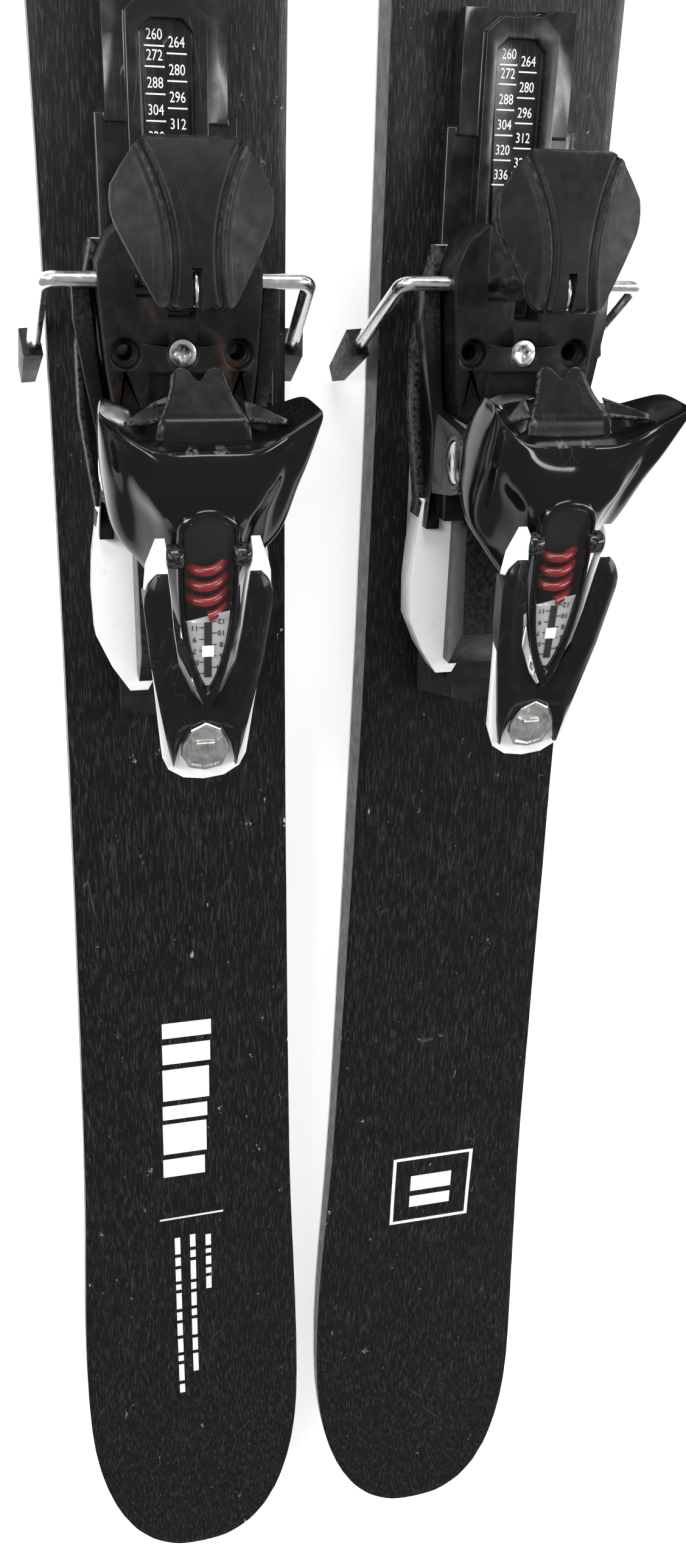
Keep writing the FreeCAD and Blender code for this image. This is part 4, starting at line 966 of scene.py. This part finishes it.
CUP_PIVOT = (-38, 62)
CHEEK_OUT = 31.5
CAP_RING = ((-0.2, 10.4), (1.0, 10.6), (1.6, 10.0), (1.7, 8.6), (0.6, 8.2))
CAP_DOME = ((0.2, 8.1), (1.4, 8.0), (2.1, 6.8), (2.4, 4.2), (2.0, 3.6), (1.9, 1.2))


def build_pivot_caps(side):
    """Domed steel cap in a dark ring on the outside of each cheek."""
    for hand, word in ((1, "outer"), (-1, "inner")):
        for part, finish, slot, profile in (("ring", "Lever_black", "matte_black", CAP_RING),
                                            ("cap", "Plated_steel", "bright_steel", CAP_DOME)):
            name = side + "_pivot_" + part + "_" + word
            mesh = turned(name, hand, CHEEK_OUT, CUP_PIVOT, profile, 40, heel_frame(side))
            finish_mesh(name, mesh, side + "_carriage", finish, smooth=40)


# ---- treadle ----

TREADLE_LINE = ((27.5, 20.0), (29.5, 18.6), (33.2, 15.8), (34.4, 12.6), (36.4, 6.6), (38.6, 0.6),
                (40.4, -4.2))
TREADLE_HALF = (17.0, 16.6, 15.8, 14.2, 11.4, 9.8, 9.0)


def build_treadle(side):
    """Folded tongue with two rounded tips, a notch between them and a web on each side."""
    line = smooth_line(TREADLE_LINE, 6)
    half = np.interp(np.linspace(0, 1, len(line)), np.linspace(0, 1, len(TREADLE_HALF)), TREADLE_HALF)
    rows = []
    for k, ((y, z), w) in enumerate(zip(line, half)):
        t = k / (len(line) - 1)
        row = []
        for u in np.linspace(-1, 1, 41):
            hollow = 5.4 * math.exp(-(u * w / 2.9) ** 2) + 9.0 * max(0.0, abs(u) - 0.62) ** 1.6
            dip = hollow * max(0.0, (t - 0.55) / 0.45) ** 1.5
            lip = 0.8 * math.exp(-((abs(u) - 1) / 0.09) ** 2)
            row.append((u * w, y - dip * 0.36 + lip * 0.3, z + dip * 0.93 + lip * 0.8))
        rows.append(row)
    mesh = grid_sheet(side + "_treadle_tongue", rows, cup_frame(side))
    piece = finish_mesh(side + "_treadle_tongue", mesh, side + "_cup", "Lever_black",
                        (side + "_treadle",), smooth=50)
    thicken(piece, 2.4)
    for hand in (1, -1):
        web = []
        for t in np.linspace(0, 1, 9):
            x = 15.6 + 11.6 * t
            web.append([(hand * x, 33.6 + 5.5 * t + 1.0 * s, 15.4 + 8.5 * t - (9.5 - 8.0 * t) * s)
                        for s in np.linspace(0, 1, 6)])
        mesh = grid_sheet(side + "_web", web, cup_frame(side))
        name = side + ("_treadle_web_outer" if hand == 1 else "_treadle_web_inner")
        piece = finish_mesh(name, mesh, side + "_cup", "Lever_black", smooth=50)
        thicken(piece, 1.8)


# ---- lever ----

COVER_INNER = ((-6, 14.6), (-14, 13.7), (-28, 12.5), (-42, 10.5), (-54, 5.3), (-61, 0.0), (-66.5, 0.0),
               (-69.5, 6.0),
               (-77, 9.9), (-88, 12.2))
COVER_OUTER = ((-6, 18.6), (-9, 21.4), (-13, 22.9), (-17, 23.2), (-42, 20.6), (-60, 17.6), (-78, 14.4),
               (-86, 12.6),
               (-88, 11.8))
LEVER_HEIGHT = 48
LEVER_FRONT = 2
LEVER_SLOPE = 0.2754
SKIRT = ((-6, 3.0), (-12, 3.0), (-16, 9.5), (-40, 9.5), (-56, 3.0), (-88, 3.0))


def lever_top(y):
    """Height of the lever's top in the cup frame."""
    return LEVER_HEIGHT + (LEVER_FRONT - y) * LEVER_SLOPE


def build_lever_cover(side):
    """Matt V-shaped cap whose two legs carry a soft ridge."""
    inner = np.array(COVER_INNER)[::-1]
    outer = np.array(COVER_OUTER)[::-1]
    along = np.unique(np.concatenate([np.linspace(-88, -6, 70), inner[:, 0]]))
    low = np.interp(along, inner[:, 0], inner[:, 1])
    high = np.interp(along, outer[:, 0], outer[:, 1])
    skirt = np.array(SKIRT)[::-1]
    deep = np.interp(along, skirt[:, 0], skirt[:, 1])
    spread = np.linspace(0, 1, 13)
    points = []
    faces = []
    for hand in (1, -1):
        rings = []
        for y, a, b, c in zip(along, low, high, deep):
            level = lever_top(y)
            end = min(1.0, (-6 - y) / 6 + 0.25, (y + 88) / 3 + 0.4)
            ridge = [(hand * (a + (b - a) * u), y, level - 3 + (3.0 + 0.9 * math.exp(-((u - 0.62) / 0.2) ** 2)
                      - 1.3 * (1 - u) ** 3 - 1.0 * u ** 8) * end) for u in spread]
            under = [(hand * (a + (b - a) * u), y,
                      level - 3 - max(0.0, c - 3) * (u > 0.97)) for u in spread[::-1]]
            if c > 3:
                under[1] = (hand * (b - 0.25), y, level - 3.05)
            rings.append(ridge + under)
        count = len(rings[0])
        base = len(points)
        last = base + (len(rings) - 1) * count
        points += [p for ring in rings for p in ring]
        faces += band_faces(count, len(rings), base)
        for i in range(len(spread) - 1):
            for start in (base, last):
                faces.append((start + i, start + i + 1, start + count - 2 - i, start + count - 1 - i))
    mesh = mesh_of(side + "_lever_cap", points, faces)
    welded(mesh, 1e-4, lambda face: all(abs(corner.co.x) < 1e-4 for corner in face.verts))
    mesh.transform(cup_frame(side))
    return finish_mesh(side + "_lever_cap", mesh, side + "_lever", "Lever_black",
                       (side + "_lever_cover",), smooth=45)


def build_plate(side):
    """Eight-sided stamped plate with a turned rim, a dished face and a raised half-round ridge."""
    matrix = cup_frame(side)
    outline = ((0, -67.2), (5.6, -70.2), (9.0, -76.6), (9.2, -81.2), (6.4, -87.0), (0, -88.6), (-6.4, -87.0),
               (-9.2, -81.2), (-9.0, -76.6), (-5.6, -70.2))
    centre = -78.2
    rings = []
    for scale, level in ((1.0, -2.6), (1.02, -0.6), (0.99, -0.1), (0.93, 0.0), (0.86, -0.2), (0.8, -1.0),
                         (0.4, -1.1)):
        rings.append([(x * scale, centre + (y - centre) * scale, lever_top(y) + level) for x, y in outline])
    mesh = loft(side + "_pole_plate", rings, matrix)
    finish_mesh(side + "_pole_plate", mesh, side + "_lever", "Stamped_steel",
                (side + "_lever_plate",), smooth=24)
    ridge = []
    for x, y in ((-5.0, -75.2), (-5.0, -80.0), (-2.6, -82.6), (2.6, -82.6), (5.0, -80.0), (5.0, -75.2)):
        ridge.append(matrix @ Vector((x, y, lever_top(y) - 0.9)))
    tube(side + "_plate_ridge", ridge, 0.8, side + "_lever", "Stamped_steel")
    bar = [matrix @ Vector((x, -77.0, lever_top(-77.0) - 0.9)) for x in (-3.4, -1, 1, 3.4)]
    tube(side + "_plate_bar", bar, 0.9, side + "_lever", "Stamped_steel")


# ---- core ----

def build_core(side):
    """Wood core under the deck, well inside the sidewalls."""
    middle, line, run = deck_outline(side)
    base = frame["nodes"][side + "_ski_base"]
    lowest = {}
    for vertex in base.data.vertices:
        key = round(vertex.co.y, 4)
        lowest[key] = max(lowest.get(key, -1), vertex.co.z)
    along = sorted(lowest)
    rings = []
    for y in np.linspace(line[0, 1] + 0.012, line[-1, 1] - 0.012, 90):
        near = int(np.argmin(np.abs(line[:, 1] - y)))
        half = max(0.002, float(np.interp(y, line[:, 1], line[:, 0])) - 0.0085)
        top = float(deck_height(line, y)) - 0.0022
        low = min(float(np.interp(y, along, [lowest[k] for k in along])) + 0.0008, top - 0.001)
        rings.append([(middle + half, y, top), (middle + half, y, low), (middle - half, y, low),
                      (middle - half, y, top)])
    mesh = loft(side + "_core_wood", rings, None)
    return finish_mesh(side + "_core_wood", mesh, side + "_ski", "Core_wood",
                       (side + "_ski_core",), smooth=30)


# ---- settings, operators and panel ----

class SKI_PG_look(bpy.types.PropertyGroup):
    """Colours and depths a user would change."""
    topsheet: FloatVectorProperty(name="Topsheet", description="Ground colour of the deck", subtype="COLOR",
                                  default=(0.0045, 0.0045, 0.0055), min=0, max=1)
    flecks: FloatVectorProperty(name="Flecks", description="Colour of the brushed grain", subtype="COLOR",
                                default=(0.042, 0.042, 0.045), min=0, max=1)
    grain_depth: FloatProperty(name="Grain depth", description="How deep the deck's grain looks",
                               default=0.5, min=0, max=1, subtype="FACTOR")
    gloss_black: FloatVectorProperty(name="Gloss black", description="Heel cup and toe colour",
                                     subtype="COLOR",
                                     default=(0.0035, 0.0035, 0.004), min=0, max=1)
    matt_black: FloatVectorProperty(name="Matt black", description="Brake pad colour", subtype="COLOR",
                                    default=(0.005, 0.005, 0.0055), min=0, max=1)
    white: FloatVectorProperty(name="White", description="Carriage and lever colour", subtype="COLOR",
                               default=(0.96, 0.96, 0.96), min=0, max=1)


class SKI_PG_stage(bpy.types.PropertyGroup):
    """Floor, lights and camera."""
    floor: FloatVectorProperty(name="Floor", description="Floor colour", subtype="COLOR",
                               default=(0.9, 0.9, 0.9), min=0, max=1)
    floor_glow: FloatProperty(name="Floor glow", description="Light from under the white floor",
                              default=0.62, min=0)
    key_power: FloatProperty(name="Key light", description="Power of the main soft light", default=34,
                             min=0, unit="POWER")
    lens: FloatProperty(name="Lens", description="Camera focal length", default=30.03, min=10, max=200,
                        unit="CAMERA")
    floor_size: FloatProperty(name="Floor size", description="Width of the floor", default=40, min=1,
                              unit="LENGTH")


class SKI_OT_finishes(bpy.types.Operator):
    """Make every finish used on the skis."""
    bl_idname = "ski.finishes"
    bl_label = "Finishes"

    def execute(self, context):
        look = context.scene.ski_look
        make_black_finishes(look)
        make_bright_finishes(look)
        make_ski_finishes(look)
        return {"FINISHED"}


class SKI_OT_skis(bpy.types.Operator):
    """Build the decks and dress the layers under them."""
    bl_idname = "ski.skis"
    bl_label = "Skis"

    def execute(self, context):
        for side in SIDES:
            build_topsheet(side)
            build_core(side)
            dress(side + "_ski_base", "Running_base")
            dress(side + "_ski_edges", "Edge_steel")
            dress(side + "_ski_sidewalls", "Sidewall")
            dress(side + "_binding_screws", "Plated_steel")
        tail_print()
        return {"FINISHED"}


class SKI_OT_tracks(bpy.types.Operator):
    """Dress the heel tracks and letter their length scales."""
    bl_idname = "ski.tracks"
    bl_label = "Heel tracks"

    def execute(self, context):
        for side in SIDES:
            dress(side + "_heel_track", "Track_black", 0.7)
            build_scale(side)
        return {"FINISHED"}


class SKI_OT_carriages(bpy.types.Operator):
    """Dress the heel carriages, towers and brake housings."""
    bl_idname = "ski.carriages"
    bl_label = "Heel carriages"

    def execute(self, context):
        for side in SIDES:
            dress(side + "_heel_carriage", "White_plastic", 1.0)
            build_guards(side)
            dress(side + "_heel_tower", "Lever_black", 0.8)
            build_pivot_caps(side)
            dress(side + "_heel_pivot", "Plated_steel", 0.6)
            dress(side + "_brake_housing", "Dirty_black", 1.0)
            dress(side + "_housing_screw", "Plated_steel", 0.25, 2)
        return {"FINISHED"}


class SKI_OT_brakes(bpy.types.Operator):
    """Dress the brake wires and paddles and build the pads."""
    bl_idname = "ski.brakes"
    bl_label = "Brakes"

    def execute(self, context):
        for side in SIDES:
            dress(side + "_brake_wire", "Plated_steel")
            dress(side + "_brake_paddles", "Matt_black", 2.0, 4)
            build_pad(side)
        return {"FINISHED"}


class SKI_OT_cups(bpy.types.Operator):
    """Build the heel cups with their windows and dress the treadles."""
    bl_idname = "ski.cups"
    bl_label = "Heel cups"

    def execute(self, context):
        for side in SIDES:
            build_cup(side)
            build_window_rim(side)
            build_window(side)
            build_treadle(side)
            build_hubs(side)
            dress(side + "_spring_nut", "Plated_steel")
            dress(side + "_heel_screw", "Plated_steel")
        return {"FINISHED"}


class SKI_OT_levers(bpy.types.Operator):
    """Dress the opening levers."""
    bl_idname = "ski.levers"
    bl_label = "Heel levers"

    def execute(self, context):
        for side in SIDES:
            dress(side + "_lever_frame", "White_plastic", 1.2, 4, 14)
            build_lever_cover(side)
            build_plate(side)
        return {"FINISHED"}


class SKI_OT_toes(bpy.types.Operator):
    """Dress the toe pieces."""
    bl_idname = "ski.toes"
    bl_label = "Toe pieces"

    def execute(self, context):
        for side in SIDES:
            for node, finish, corner in (("toe_base", "Track_black", 1.0), ("afd_plate", "Matt_black", 0.6),
                                         ("toe_housing", "Gloss_black", 1.5),
                                         ("toe_wing_inner", "Gloss_black", 1.2),
                                         ("toe_wing_outer", "Gloss_black", 1.2),
                                         ("toe_screw", "Plated_steel", 0.4)):
                dress(side + "_" + node, finish, corner)
        return {"FINISHED"}


def add_light(name, kind, place, aim, power, width, height):
    """One soft light aimed at a point."""
    light = bpy.data.lights.new(name, kind)
    light.energy = power
    light.shape = "RECTANGLE"
    light.size = width
    light.size_y = height
    lamp = bpy.data.objects.new(name, light)
    bpy.context.scene.collection.objects.link(lamp)
    lamp.location = place
    lamp.rotation_euler = (Vector(aim) - Vector(place)).to_track_quat("-Z", "Y").to_euler()
    return lamp


class SKI_OT_stage(bpy.types.Operator):
    """Lay the floor and set the lights and the camera."""
    bl_idname = "ski.stage"
    bl_label = "Stage"

    def execute(self, context):
        scene = context.scene
        stage = scene.ski_stage
        half = stage.floor_size / 2
        mesh = mesh_of("floor", [(-half, -half, -0.0006), (half, -half, -0.0006), (half, half, -0.0006),
                                 (-half, half, -0.0006)], [(0, 1, 2, 3)])
        floor = bpy.data.objects.new("floor", mesh)
        scene.collection.objects.link(floor)
        n = Nodes("Floor")
        n.set(Specular_IOR_Level=0.1, Emission_Color=(1, 1, 1, 1), Emission_Strength=stage.floor_glow)
        n.done(n.mix(n.noise(3, 2), stage.floor[:], tuple(c * 0.99 for c in stage.floor)),
               n.ramp(n.noise(8, 2), (0.3, 0.8), (0.7, 0.9)))
        floor.data.materials.append(BUILT["Floor"])
        world = bpy.data.worlds.new("Studio")
        world.use_nodes = True
        world.node_tree.nodes["Background"].inputs["Color"].default_value = (1, 1, 1, 1)
        world.node_tree.nodes["Background"].inputs["Strength"].default_value = 0.36
        scene.world = world
        aim = (0, -0.25, 0.08)
        add_light("Key", "AREA", (-1.3, 0.5, 1.2), aim, stage.key_power, 0.35, 1.6)
        add_light("Fill", "AREA", (1.4, 0.1, 1.1), aim, stage.key_power * 0.8, 0.3, 1.8)
        add_light("Back", "AREA", (0.0, 1.6, 1.3), aim, stage.key_power * 0.9, 1.4, 0.5)
        lens = bpy.data.cameras.new("Camera")
        lens.lens = stage.lens
        lens.sensor_width = 36
        lens.clip_start = 0.02
        lens.clip_end = 90
        camera = bpy.data.objects.new("Camera", lens)
        scene.collection.objects.link(camera)
        right = Vector((0.9699, 0.0276, 0.2419))
        up = Vector((0.0760, 0.9095, -0.4086))
        back = right.cross(up).normalized()
        up = back.cross(right).normalized()
        turn = Matrix((right.normalized(), up, back)).transposed().to_4x4()
        camera.matrix_world = Matrix.Translation((-0.1334, -0.1046, 0.5921)) @ turn
        scene.camera = camera
        scene.view_settings.view_transform = "Standard"
        return {"FINISHED"}


class SKI_PT_panel(bpy.types.Panel):
    """Lists the operators in the sidebar."""
    bl_idname = "SKI_PT_panel"
    bl_label = "Skis"
    bl_space_type = "VIEW_3D"
    bl_region_type = "UI"
    bl_category = "Skis"

    def draw(self, context):
        for name in STEPS:
            self.layout.operator("ski." + name)
        for group in (context.scene.ski_look, context.scene.ski_stage):
            for key in group.__annotations__:
                self.layout.prop(group, key)


STEPS = ("finishes", "skis", "tracks", "carriages", "brakes", "cups", "levers", "toes", "stage")
CLASSES = (SKI_PG_look, SKI_PG_stage, SKI_OT_finishes, SKI_OT_skis, SKI_OT_tracks, SKI_OT_carriages,
           SKI_OT_brakes, SKI_OT_cups, SKI_OT_levers, SKI_OT_toes, SKI_OT_stage, SKI_PT_panel)


def register():
    for made in CLASSES:
        bpy.utils.register_class(made)
    bpy.types.Scene.ski_look = PointerProperty(type=SKI_PG_look)
    bpy.types.Scene.ski_stage = PointerProperty(type=SKI_PG_stage)


def unregister():
    del bpy.types.Scene.ski_stage
    del bpy.types.Scene.ski_look
    for made in reversed(CLASSES):
        bpy.utils.unregister_class(made)


def main():
    """Registers the add-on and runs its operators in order."""
    register()
    for name in STEPS:
        getattr(bpy.ops.ski, name)()


if __name__ == "__main__":
    main()
